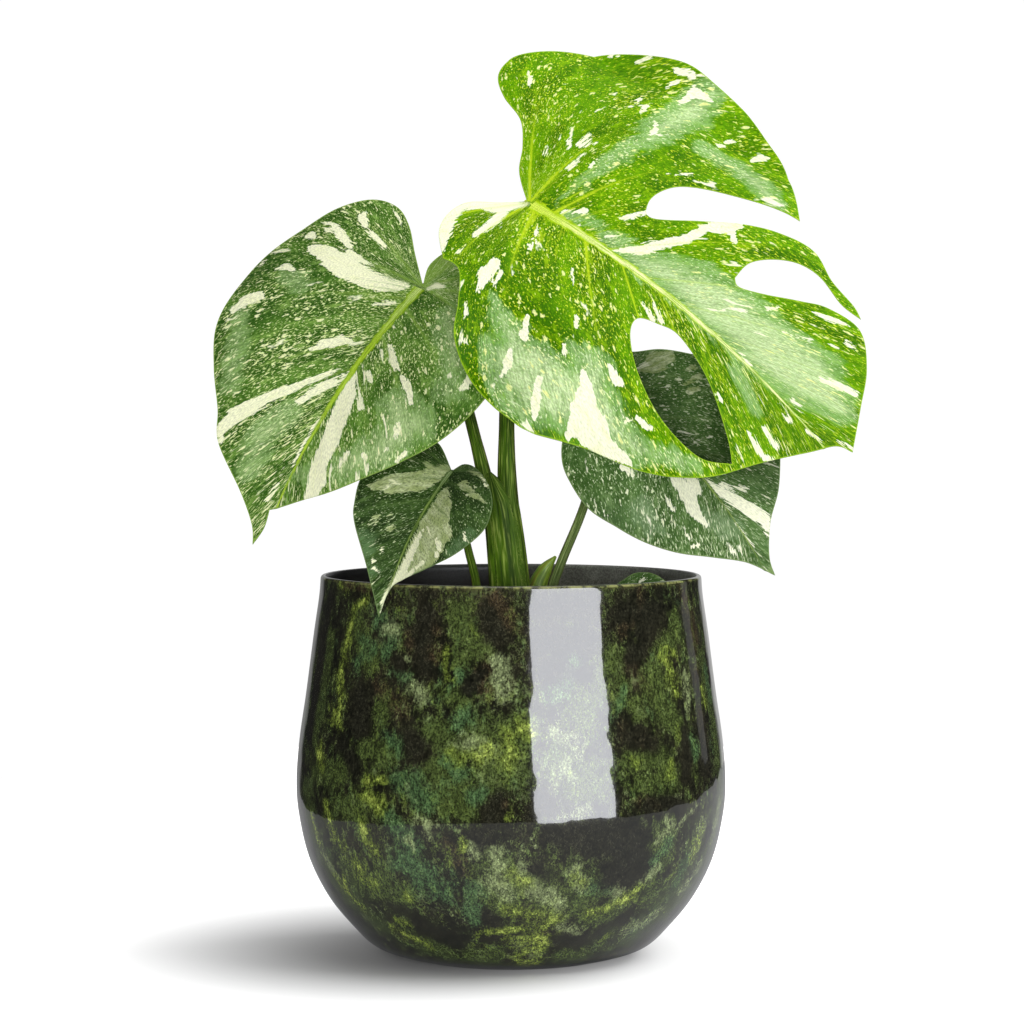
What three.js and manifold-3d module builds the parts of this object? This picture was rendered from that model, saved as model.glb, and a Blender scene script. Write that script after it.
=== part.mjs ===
// A young variegated monstera standing in a round glazed pot.
// Millimetres, +Z up. The origin is the centre of the pot's foot, and the plant faces -Y.
import * as THREE from "three";
import { mergeVertices } from "three/addons/utils/BufferGeometryUtils.js";
import Module from "manifold-3d";

const wasm = await Module();
wasm.setup();

// Driving dimensions
const CLEAR = 0.35;
const POT_HEIGHT = 250;
const POT_WALL = 4.5;
const POT_FLOOR = 9;
const POT_SIDES = 48;
const POT_STEPS = 16;
const LIP_RADIUS = 124.5;
const BELLY_RADIUS = 140.5;
const FOOT_RADIUS = 64;
const FLOOR_ROUND = 9;
const WALL_START = 2;
const SOIL_TOP = 216;
const SOIL_BEVEL = { down: 3, in: 2 };
const SOIL_CROWN = 5;
const SOIL_SHOULDER = { radius: 45, share: 0.6 };
const ROOT_DEPTH = 34;
const HOLE_SIDES = 24;
const BLADE = 0.9;

// The pot's side from its foot to under the lip: [radius, height]
const POT_SIDE = [
  [FOOT_RADIUS, 0],
  [89, 7.5],
  [105, 22],
  [120.5, 41.5],
  [132.5, 66],
  [139, 94],
  [BELLY_RADIUS, 116],
  [138.5, 143],
  [134, 174],
  [129, 212],
  [125.5, 236],
  [LIP_RADIUS, POT_HEIGHT - 2],
];

// The lip's rounded top, from its outer edge inwards: how far in and how far down
const LIP_TOP = [
  [0.7, 0.5],
  [2, 0],
  [3.6, 0.5],
];

const GREEN_BRIGHT = 0x6f9f1f;
const GREEN_MID = 0x4f7a35;
const GREEN_DARK = 0x35502f;
const GREEN_STALK = 0x4d6b22;

// Each blade lies round a flat frame at the top of its stalk. attach is that point, facing turns the
// blade's front to the right of -Y, rise tips it up, and turn swings its midrib from level. In the
// frame a runs along the midrib and b across it. rim goes once round the blade, in stretches from one
// sharp corner to the next, and holes are the windows inside it: [a, b].
const LEAVES = [
  {
    name: "blade_large",
    attach: [12, -8, 492],
    facing: 18,
    rise: 30,
    turn: -45,
    length: 265,
    halfWidth: 110,
    mesh: 11.5,
    edge: 6.5,
    bow: 12,
    fold: 0.16,
    foldRadius: 8,
    arch: 16,
    droop: 20,
    lift: 6,
    wave: 4,
    waves: 2.5,
    phase: 0.4,
    colour: GREEN_BRIGHT,
    rim: [
      // the upper back lobe and the first finger
      [
        [-2, 0], [-19, 14], [-29, 31], [-42, 46], [-60, 52], [-72, 61], [-75, 74], [-71, 90], [-49, 128],
        [-35, 150], [-17, 164], [9, 173], [33, 176], [65, 181], [92, 171], [115, 155], [140, 127],
      ],
      // round the first slot and out along the second finger
      [
        [140, 127], [126, 121], [88, 102], [68, 86], [59, 70], [58, 56], [66, 49], [91, 71], [112, 89],
        [136, 105], [161, 117], [182, 108], [203, 102], [213, 96],
      ],
      // back along the second slot
      [[213, 96], [197, 96], [176, 103], [160, 99], [145, 86], [134, 70], [133, 54]],
      // the third finger, down to the tip
      [
        [133, 54], [139, 51], [155, 60], [175, 75], [192, 86], [217, 88], [237, 68], [250, 43], [264, 15],
      ],
      // the lower margin
      [
        [264, 15], [253, 10], [242, -9], [224, -42], [207, -75], [190, -93], [171, -103], [135, -113],
        [101, -132], [84, -135], [49, -127], [23, -115], [11, -98], [-3, -80], [-15, -81],
      ],
      // the lower back lobe
      [[-15, -81], [-29, -66], [-33, -50], [-29, -32], [-14, -15], [-2, 0]],
    ],
    holes: [
      [
        [
          [210, -60], [191, -73], [158, -68], [126, -53], [107, -35], [103, -20], [115, -12], [131, -8],
          [162, -20], [195, -45], [210, -60],
        ],
      ],
    ],
  },
  {
    name: "blade_left",
    attach: [-58, 2, 438],
    facing: -12,
    rise: 30,
    turn: -115,
    length: 210,
    halfWidth: 95,
    mesh: 11.5,
    edge: 7.5,
    bow: -10,
    fold: 0.26,
    foldRadius: 7,
    arch: 16,
    droop: 16,
    lift: 5,
    wave: 3,
    waves: 2,
    phase: 0.9,
    colour: GREEN_MID,
    rim: [
      [
        [-1, 0], [-18, -16], [-34, -30], [-42, -44], [-39, -61], [-24, -77], [-2, -91], [24, -108],
        [48, -112], [85, -107], [113, -92], [137, -74], [157, -61], [179, -31], [194, -14], [205, -7],
      ],
      [[205, -7], [192, -6], [180, -9]],
      [
        [180, -9], [168, 6], [155, 24], [140, 40], [120, 59], [96, 74], [60, 83], [36, 84], [14, 76],
        [-6, 61], [-26, 41], [-37, 21], [-34, 4], [-17, -4], [-1, 0],
      ],
    ],
    holes: [],
  },
  {
    name: "blade_low",
    attach: [-38, -41, 319],
    facing: -10,
    rise: 50,
    turn: -101,
    length: 139,
    halfWidth: 55,
    mesh: 8.5,
    edge: 6,
    bow: -6,
    fold: 0.42,
    foldRadius: 4,
    arch: 8,
    droop: 8,
    lift: 3,
    wave: 1.5,
    waves: 1.5,
    phase: 0.3,
    colour: GREEN_DARK,
    rim: [
      [
        [0, 0], [-18, -14], [-19, -25], [-10, -37], [5, -46], [30, -50], [50, -47], [68, -41], [99, -22],
        [132, -3],
      ],
      [
        [132, -3], [108, -4], [100, 3], [94, 16], [85, 30], [72, 39], [59, 44], [47, 44], [37, 42],
        [26, 37], [14, 29], [3, 20], [-4, 12], [-6, 5], [0, 0],
      ],
    ],
    holes: [],
  },
  {
    name: "blade_right",
    attach: [63, 8, 375],
    facing: 10,
    rise: 25,
    turn: -54,
    length: 169,
    halfWidth: 70,
    mesh: 10.5,
    edge: 7,
    bow: 8,
    fold: 0.22,
    foldRadius: 6,
    arch: 10,
    droop: 12,
    lift: 4,
    wave: 2.5,
    waves: 2,
    phase: 1.6,
    colour: GREEN_DARK,
    rim: [
      [
        [-1, -1], [-14, 2], [-15, 16], [-5, 28], [4, 42], [18, 56], [34, 71], [54, 79], [76, 75],
        [97, 67], [123, 45], [138, 25], [155, 10], [167, 5],
      ],
      [
        [167, 5], [150, -5], [134, -24], [120, -40], [103, -52], [82, -62], [60, -70], [35, -66],
        [20, -58], [8, -44], [-2, -26], [-1, -1],
      ],
    ],
    holes: [],
  },
  {
    name: "blade_inner",
    attach: [71, 4, 238],
    facing: 8,
    rise: 50,
    turn: 0,
    length: 36,
    halfWidth: 22,
    mesh: 7,
    edge: 5,
    bow: 0,
    fold: 0.25,
    foldRadius: 3,
    arch: 3,
    droop: 3,
    lift: 1,
    wave: 0.6,
    waves: 1.5,
    phase: 0.5,
    colour: GREEN_DARK,
    rim: [
      [[0, -1], [-1, 6], [4, 10], [12, 16], [19, 17.5], [25, 16], [32, 11], [37, 3]],
      [[37, 3], [31, -9], [21, -17], [11, -19], [2, -14], [0, -1]],
    ],
    holes: [],
  },
];

// Stalks: points up the centre line, then half the width and half the depth at each of them. The first
// two points stand straight up in the soil, and a stalk with a leaf ends square against its back.
const STALKS = {
  large: {
    leaf: "blade_large",
    sides: 14,
    steps: 24,
    points: [
      [7, 0, SOIL_TOP - ROOT_DEPTH], [6.5, 0, SOIL_TOP + 4], [4.5, 0, 243], [0, 0, 280], [-2.5, 0, 312],
      [-2.8, 0, 344], [-1.5, 1, 400], [3, 4, 450], [8, 6, 476],
    ],
    width: [7.6, 7.5, 7.1, 7, 6.2, 5, 4.5, 4.1, 3.9, 3.6],
    depth: [6.2, 6.2, 6, 5.9, 5.6, 4.8, 4.3, 4, 3.9, 3.6],
  },
  left: {
    leaf: "blade_left",
    sides: 14,
    steps: 22,
    points: [
      [-6.5, 0, SOIL_TOP - ROOT_DEPTH], [-6.5, 0, SOIL_TOP + 4], [-7.5, 0, 243], [-10.5, 0, 280],
      [-17, 1, 312], [-23, 3, 337], [-32, 8, 370], [-45, 14, 405], [-54, 15, 424],
    ],
    width: [6.2, 6.1, 6, 5.8, 5, 3.9, 3.7, 3.5, 3.4, 3.2],
    depth: [5.7, 5.7, 5.6, 5.5, 4.8, 3.9, 3.7, 3.5, 3.4, 3.2],
  },
  sheath: {
    leaf: null,
    sides: 20,
    steps: 16,
    points: [
      [0.9, 0, SOIL_TOP - ROOT_DEPTH], [0.7, 0, SOIL_TOP + 4], [-0.9, 0, 243], [-4.6, 0, 280],
      [-7.3, -0.5, 298], [-10.5, -2, 308], [-14, -3.5, 317],
    ],
    width: [14.4, 14.2, 13.4, 12.3, 11.8, 6, 0.8],
    depth: [7.2, 7.2, 7, 6.8, 6.2, 4, 0.7],
  },
  low: {
    leaf: "blade_low",
    sides: 10,
    steps: 14,
    points: [
      [-22, -12, SOIL_TOP - ROOT_DEPTH], [-22, -12, SOIL_TOP + 4], [-22.5, -13, 243], [-28, -20, 268],
      [-33.5, -28, 292], [-36, -31, 305],
    ],
    width: [3.4, 3.3, 2.9, 2.6, 2.4, 2.3, 2.2],
    depth: [3.4, 3.3, 2.9, 2.6, 2.4, 2.3, 2.2],
  },
  right: {
    leaf: "blade_right",
    sides: 10,
    steps: 18,
    points: [
      [22, 2, SOIL_TOP - ROOT_DEPTH], [22, 2, SOIL_TOP + 4], [27.5, 3, 243], [33.5, 5, 259],
      [48.5, 11, 296], [58, 19, 336], [61.5, 20.5, 362],
    ],
    width: [3.8, 3.7, 3.2, 3.1, 2.9, 2.7, 2.6, 2.5],
    depth: [3.8, 3.7, 3.2, 3.1, 2.9, 2.7, 2.6, 2.5],
  },
  inner: {
    leaf: "blade_inner",
    sides: 8,
    steps: 10,
    points: [
      [48, 9, SOIL_TOP - ROOT_DEPTH], [48, 9, SOIL_TOP + 6], [53, 12, 229], [64, 12, 230.5],
    ],
    width: [2.2, 2.1, 1.9, 1.7, 1.6],
    depth: [2.2, 2.1, 1.9, 1.7, 1.6],
  },
  shoot: {
    leaf: null,
    sides: 12,
    steps: 12,
    points: [
      [15, 16, SOIL_TOP - ROOT_DEPTH], [15, 16, SOIL_TOP + 4], [17.5, 16, 241], [22.5, 15.5, 252],
      [29.5, 15, 261],
    ],
    width: [5.6, 5.8, 6.4, 4.8, 0.8],
    depth: [4.2, 4.4, 4.6, 3.4, 0.7],
  },
};

// Blades

function bladeRise(leaf, a, b) {
  const along = a / leaf.length;
  const onRib = Math.min(Math.max(along, 0), 1);
  const off = b - leaf.bow * 4 * onRib * (1 - onRib);
  const out = Math.min(Math.abs(off) / leaf.halfWidth, 1.3);
  const beat = 2 * Math.PI * leaf.waves * along + leaf.phase + (off > 0 ? 0 : 1.9);
  let rise = leaf.fold * (Math.hypot(off, leaf.foldRadius) - leaf.foldRadius);
  rise -= leaf.arch * out ** 3;
  rise -= leaf.droop * Math.max(along, 0) ** 2;
  rise -= 4 * leaf.lift * Math.max(-along, 0) ** 2;
  rise += leaf.wave * out ** 2 * Math.sin(beat);
  return rise;
}

function spacedOutline(stretches, spacing) {
  const outline = [];
  for (const stretch of stretches) {
    const curve = new THREE.SplineCurve(stretch.map(([a, b]) => new THREE.Vector2(a, b)));
    const count = Math.max(2, Math.round(curve.getLength() / spacing));
    outline.push(...curve.getSpacedPoints(count).slice(0, -1));
  }
  return outline;
}

function isInside(outline, x, y) {
  let inside = false;
  outline.forEach((p, i) => {
    const q = outline[(i + 1) % outline.length];
    if (p.y > y !== q.y > y && x < p.x + ((y - p.y) * (q.x - p.x)) / (q.y - p.y)) {
      inside = !inside;
    }
  });
  return inside;
}

function distanceTo(outline, x, y) {
  const point = new THREE.Vector3(x, y, 0);
  const nearest = new THREE.Vector3();
  const side = new THREE.Line3();
  let least = Infinity;
  outline.forEach((p, i) => {
    const q = outline[(i + 1) % outline.length];
    side.start.set(p.x, p.y, 0);
    side.end.set(q.x, q.y, 0);
    side.closestPointToPoint(point, true, nearest);
    least = Math.min(least, nearest.distanceTo(point));
  });
  return least;
}

// Points on a lattice of even triangles, kept where they lie well inside the blade.
function innerPoints(rim, holes, spacing) {
  const box = new THREE.Box2().setFromPoints(rim);
  const rowStep = (spacing * Math.sqrt(3)) / 2;
  const points = [];
  for (let row = 0; box.min.y + row * rowStep < box.max.y; row++) {
    const y = box.min.y + row * rowStep;
    for (let x = box.min.x + (row % 2) * (spacing / 2); x < box.max.x; x += spacing) {
      const clear = [rim, ...holes].every((outline) => distanceTo(outline, x, y) > 0.6 * spacing);
      if (clear && isInside(rim, x, y) && !holes.some((hole) => isInside(hole, x, y))) {
        points.push(new THREE.Vector2(x, y));
      }
    }
  }
  return points;
}

function circleAround(p, q, r) {
  const d = 2 * (p.x * (q.y - r.y) + q.x * (r.y - p.y) + r.x * (p.y - q.y));
  const [pp, qq, rr] = [p.lengthSq(), q.lengthSq(), r.lengthSq()];
  const x = (pp * (q.y - r.y) + qq * (r.y - p.y) + rr * (p.y - q.y)) / d;
  const y = (pp * (r.x - q.x) + qq * (p.x - r.x) + rr * (q.x - p.x)) / d;
  return { x, y, reach: (p.x - x) ** 2 + (p.y - y) ** 2 };
}

// The even-sided triangles over a set of points, made by adding one point at a time: the triangles
// whose circles hold the new point open into one cell, which is joined to it again.
function trianglesOver(points) {
  const far = 1e4;
  const all = [...points];
  all.push(new THREE.Vector2(-far, -far), new THREE.Vector2(far, -far), new THREE.Vector2(0, far));
  const count = points.length;
  const triangle = (i, j, k) => ({ corners: [i, j, k], circle: circleAround(all[i], all[j], all[k]) });
  let triangles = [triangle(count, count + 1, count + 2)];
  points.forEach((point, index) => {
    const holds = ({ circle: { x, y, reach } }) => (point.x - x) ** 2 + (point.y - y) ** 2 < reach;
    const open = triangles.filter(holds);
    const cell = new Map();
    for (const { corners } of open) {
      corners.forEach((from, i) => {
        const to = corners[(i + 1) % 3];
        if (!cell.delete(`${to},${from}`)) {
          cell.set(`${from},${to}`, [from, to]);
        }
      });
    }
    triangles = triangles.filter((one) => !open.includes(one));
    for (const [from, to] of cell.values()) {
      triangles.push(triangle(from, to, index));
    }
  });
  return triangles.map((one) => one.corners).filter((corners) => Math.max(...corners) < count);
}

// A thin waved plate: the same triangles above and below, and a wall along every free side.
function bladeGeometry(leaf) {
  const rim = spacedOutline(leaf.rim, leaf.edge);
  const holes = leaf.holes.map((hole) => spacedOutline(hole, leaf.edge));
  const points = [rim, ...holes].flat().concat(innerPoints(rim, holes, leaf.mesh));
  const faces = trianglesOver(points).filter((corners) => {
    const x = corners.reduce((sum, i) => sum + points[i].x / 3, 0);
    const y = corners.reduce((sum, i) => sum + points[i].y / 3, 0);
    return isInside(rim, x, y) && !holes.some((hole) => isInside(hole, x, y));
  });
  const positions = [];
  for (const half of [BLADE / 2, -BLADE / 2]) {
    for (const { x, y } of points) {
      positions.push(x, y, bladeRise(leaf, x, y) + half);
    }
  }
  const below = points.length;
  const free = new Map();
  const index = [];
  for (const [i, j, k] of faces) {
    index.push(i, j, k, below + i, below + k, below + j);
    for (const [from, to] of [[i, j], [j, k], [k, i]]) {
      if (!free.delete(`${to},${from}`)) {
        free.set(`${from},${to}`, [from, to]);
      }
    }
  }
  for (const [from, to] of free.values()) {
    index.push(from, below + from, to, to, below + from, below + to);
  }
  return closedGeometry(positions, index);
}

function closedGeometry(positions, index) {
  const geometry = new THREE.BufferGeometry();
  geometry.setAttribute("position", new THREE.Float32BufferAttribute(positions, 3));
  geometry.setIndex(index);
  return geometry;
}

function leafTurn(leaf) {
  const { degToRad } = THREE.MathUtils;
  const turn = new THREE.Quaternion();
  const step = new THREE.Quaternion();
  turn.setFromAxisAngle(new THREE.Vector3(0, 0, 1), degToRad(leaf.facing));
  turn.multiply(step.setFromAxisAngle(new THREE.Vector3(1, 0, 0), degToRad(90 - leaf.rise)));
  turn.multiply(step.setFromAxisAngle(new THREE.Vector3(0, 0, 1), degToRad(leaf.turn)));
  return turn;
}

// Stalks

function stalkGeometry(stalk) {
  const points = stalk.points.map((point) => new THREE.Vector3(...point));
  let ending = new THREE.Vector3(0, 0, 1);
  if (stalk.leaf) {
    const leaf = LEAVES.find((one) => one.name === stalk.leaf);
    ending = new THREE.Vector3(0, 0, 1).applyQuaternion(leafTurn(leaf));
    points.push(new THREE.Vector3(...leaf.attach).addScaledVector(ending, -BLADE / 2 - CLEAR));
  }
  const curve = new THREE.CatmullRomCurve3(points, false, "centripetal");
  const { sides, steps } = stalk;
  const positions = [];
  const index = [];
  for (let step = 0; step <= steps; step++) {
    const t = step / steps;
    const tangent = curve.getTangent(t);
    if (step === 0) {
      tangent.set(0, 0, 1);
    } else if (step === steps && stalk.leaf) {
      tangent.copy(ending);
    }
    const centre = curve.getPoint(t);
    const depthAxis = new THREE.Vector3().crossVectors(tangent, new THREE.Vector3(1, 0, 0)).normalize();
    const widthAxis = new THREE.Vector3().crossVectors(depthAxis, tangent);
    const place = t * (points.length - 1);
    const below = Math.min(Math.floor(place), points.length - 2);
    const width = THREE.MathUtils.lerp(stalk.width[below], stalk.width[below + 1], place - below);
    const depth = THREE.MathUtils.lerp(stalk.depth[below], stalk.depth[below + 1], place - below);
    for (let side = 0; side < sides; side++) {
      const angle = (2 * Math.PI * side) / sides;
      const point = centre.clone().addScaledVector(widthAxis, width * Math.cos(angle));
      positions.push(...point.addScaledVector(depthAxis, depth * Math.sin(angle)).toArray());
    }
  }
  for (let step = 0; step < steps; step++) {
    for (let side = 0; side < sides; side++) {
      const here = step * sides + side;
      const next = step * sides + ((side + 1) % sides);
      index.push(here, next, here + sides, next, next + sides, here + sides);
    }
  }
  const top = steps * sides;
  for (let side = 1; side < sides - 1; side++) {
    index.push(0, side + 1, side, top, top + side, top + side + 1);
  }
  return closedGeometry(positions, index);
}

// Pot and soil

function sideCurve() {
  return new THREE.SplineCurve(POT_SIDE.map(([radius, height]) => new THREE.Vector2(radius, height)));
}

function innerSide() {
  const curve = sideCurve();
  const points = [];
  for (let i = POT_STEPS; i >= 2; i--) {
    const t = i / POT_STEPS;
    const tangent = curve.getTangent(t);
    const point = curve.getPoint(t);
    point.x -= POT_WALL * tangent.y;
    point.y += POT_WALL * tangent.x;
    if (point.y > POT_FLOOR + WALL_START) {
      points.push(point);
    }
  }
  return points;
}

function potGeometry() {
  const outside = sideCurve().getPoints(POT_STEPS);
  const inside = innerSide();
  const lip = LIP_TOP.map(([inwards, down]) => new THREE.Vector2(LIP_RADIUS - inwards, POT_HEIGHT - down));
  const floorEdge = new THREE.Vector2(inside.at(-1).x - FLOOR_ROUND, POT_FLOOR);
  const profile = [new THREE.Vector2(0, 0), ...outside, ...lip, ...inside, floorEdge];
  profile.push(new THREE.Vector2(0, POT_FLOOR));
  return new THREE.LatheGeometry(profile, POT_SIDES).rotateX(Math.PI / 2);
}

// The soil fills the pot, just clear of its wall and floor, and rises a little towards the stems.
function soilGeometry() {
  const wall = innerSide().filter((point) => point.y < SOIL_TOP - SOIL_BEVEL.down);
  const side = wall.map((point) => new THREE.Vector2(point.x - CLEAR, point.y)).reverse();
  const edge = new THREE.Vector2(side.at(-1).x - SOIL_BEVEL.in, SOIL_TOP);
  const floorEdge = new THREE.Vector2(side[0].x - FLOOR_ROUND - CLEAR, POT_FLOOR + CLEAR);
  const profile = [new THREE.Vector2(0, POT_FLOOR + CLEAR), floorEdge, ...side, edge];
  profile.push(new THREE.Vector2(SOIL_SHOULDER.radius, SOIL_TOP + SOIL_SHOULDER.share * SOIL_CROWN));
  profile.push(new THREE.Vector2(0, SOIL_TOP + SOIL_CROWN));
  return new THREE.LatheGeometry(profile, POT_SIDES).rotateX(Math.PI / 2);
}

// A straight hole round the foot of a stalk, a little wider than the foot and open above the soil.
function holeGeometry(stalk) {
  const [x, y, bottom] = stalk.points[0];
  const height = 2 * ROOT_DEPTH;
  const around = 3 * CLEAR;
  const hole = new THREE.CylinderGeometry(1, 1, height, HOLE_SIDES);
  hole.rotateX(Math.PI / 2);
  hole.scale(stalk.width[0] + around, stalk.depth[0] + around, 1);
  hole.translate(x, y, bottom - CLEAR + height / 2);
  return hole;
}

// Joins and cuts

function toManifold(geometry) {
  const bare = geometry.clone();
  bare.deleteAttribute("normal");
  bare.deleteAttribute("uv");
  const merged = mergeVertices(bare, 1e-4);
  return new wasm.Manifold(
    new wasm.Mesh({
      numProp: 3,
      vertProperties: new Float32Array(merged.attributes.position.array),
      triVerts: new Uint32Array(merged.index.array),
    }),
  );
}

function fromManifold(manifold) {
  const mesh = manifold.getMesh();
  const geometry = new THREE.BufferGeometry();
  geometry.setAttribute("position", new THREE.BufferAttribute(mesh.vertProperties, 3));
  geometry.setIndex(new THREE.BufferAttribute(mesh.triVerts, 1));
  return geometry;
}

function joined(geometries) {
  const solids = geometries.map(toManifold);
  return fromManifold(solids.reduce((whole, solid) => whole.add(solid)));
}

function cut(geometry, cutters) {
  let solid = toManifold(geometry);
  for (const cutter of cutters) {
    solid = solid.subtract(toManifold(cutter));
  }
  return fromManifold(solid);
}

// Assembly

const plant = new THREE.Group();

function addPiece(name, geometry, colour, roughness) {
  const material = new THREE.MeshStandardMaterial({ color: colour, roughness, metalness: 0 });
  const mesh = new THREE.Mesh(geometry, material);
  mesh.name = name;
  plant.add(mesh);
  return mesh;
}

addPiece("pot", potGeometry(), 0x1d2a16, 0.08);
addPiece("soil", cut(soilGeometry(), Object.values(STALKS).map(holeGeometry)), 0x241b14, 0.95);

// The two tall stalks stand in one sheath and part at its tip, so they are one piece.
const fork = joined([STALKS.large, STALKS.left, STALKS.sheath].map(stalkGeometry));
addPiece("stem_fork", fork, GREEN_STALK, 0.45);
addPiece("stalk_low", stalkGeometry(STALKS.low), GREEN_STALK, 0.45);
addPiece("stalk_right", stalkGeometry(STALKS.right), GREEN_STALK, 0.45);
addPiece("stalk_inner", stalkGeometry(STALKS.inner), GREEN_STALK, 0.45);
addPiece("new_shoot", stalkGeometry(STALKS.shoot), GREEN_BRIGHT, 0.45);

for (const leaf of LEAVES) {
  const blade = addPiece(leaf.name, bladeGeometry(leaf), leaf.colour, 0.4);
  blade.position.set(...leaf.attach);
  blade.quaternion.copy(leafTurn(leaf));
}

export default plant;
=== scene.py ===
"""A young variegated monstera in a round glazed pot: its fine shapes and its finishes.

Metres, +Z up, the plant faces -Y. Leaf and stalk sizes are listed in millimetres, as in the model
that the pieces stand for, and MM turns them into metres.
"""
import math
import random

import bpy
import numpy as np
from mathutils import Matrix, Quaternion, Vector, geometry, kdtree


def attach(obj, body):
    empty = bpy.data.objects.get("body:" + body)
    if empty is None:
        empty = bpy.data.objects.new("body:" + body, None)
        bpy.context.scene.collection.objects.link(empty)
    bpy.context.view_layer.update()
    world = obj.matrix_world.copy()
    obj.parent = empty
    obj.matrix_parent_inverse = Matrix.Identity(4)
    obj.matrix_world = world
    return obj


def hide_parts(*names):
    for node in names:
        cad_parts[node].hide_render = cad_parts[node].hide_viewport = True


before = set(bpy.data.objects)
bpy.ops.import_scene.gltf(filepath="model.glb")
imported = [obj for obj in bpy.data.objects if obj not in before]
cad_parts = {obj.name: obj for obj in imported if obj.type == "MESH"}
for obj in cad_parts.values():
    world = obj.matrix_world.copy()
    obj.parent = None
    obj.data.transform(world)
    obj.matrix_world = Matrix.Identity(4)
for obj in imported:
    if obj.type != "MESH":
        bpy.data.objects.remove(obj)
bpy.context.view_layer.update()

MM = 0.001

# Table, as the corners of its rim
TABLE_RIM = [
    (-0.47, 1.3), (-0.47, 0.17), (-0.45, -0.07), (-0.35, -0.31), (-0.16, -0.46), (0.06, -0.51),
    (0.33, -0.45), (0.52, -0.3), (0.67, -0.11), (0.88, 0.24), (0.93, 0.58), (0.93, 1.3),
]

# Camera
CAMERA_PLACE = (0.00065, -2.5, 0.4)
CAMERA_TILT = math.radians(2.5)
CAMERA_LENS = 134.49

# Pot
POT_HEIGHT = 250.0
POT_WALL = 4.5
POT_FLOOR = 9.0
FLOOR_ROUND = 9.0
LIP_RADIUS = 124.5
LIP_ROUND = 2.1
LIP_RISE = 2.0
CREST_DROP = 1.0
CREST_WIDTH = 0.7
CREST_REACH = 2.0
FOOT_RADIUS = 64.0
FOOT_DARK_TOP = 10.0
FOOT_DARK_FADE = 8.0
POT_SEGMENTS = 288
POT_RINGS = 130
POT_SIDE = [
    (FOOT_RADIUS, 0), (89, 7.5), (105, 22), (120.5, 41.5), (132.5, 66), (139, 94), (140.5, 116),
    (138.5, 143), (134, 174), (129, 212), (125.5, 236), (LIP_RADIUS, POT_HEIGHT - LIP_RISE),
]

# Soil
SOIL_TOP = 216.0
SOIL_CROWN = 5.0
SOIL_EDGE = 3.0
SOIL_STEP = 2.4
SOIL_SEGMENTS = 144
ROOT_DEPTH = 34.0
STREWN_RADIUS = 114.0
STREWN_STEP = 5.0
STREWN_LIFT = 0.4

# Blades
CLEAR = 0.35
BLADE = 0.9
MARGIN_BLADE = 0.5
MARGIN_REACH = 7.0
RIM_STEP = 1.9
RIM_GAP = 0.55
RIB_GAP = 0.6
RIB_STEP = 0.9
RIB_ROWS = (0.0, 0.45, 1.0, 1.7)
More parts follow.
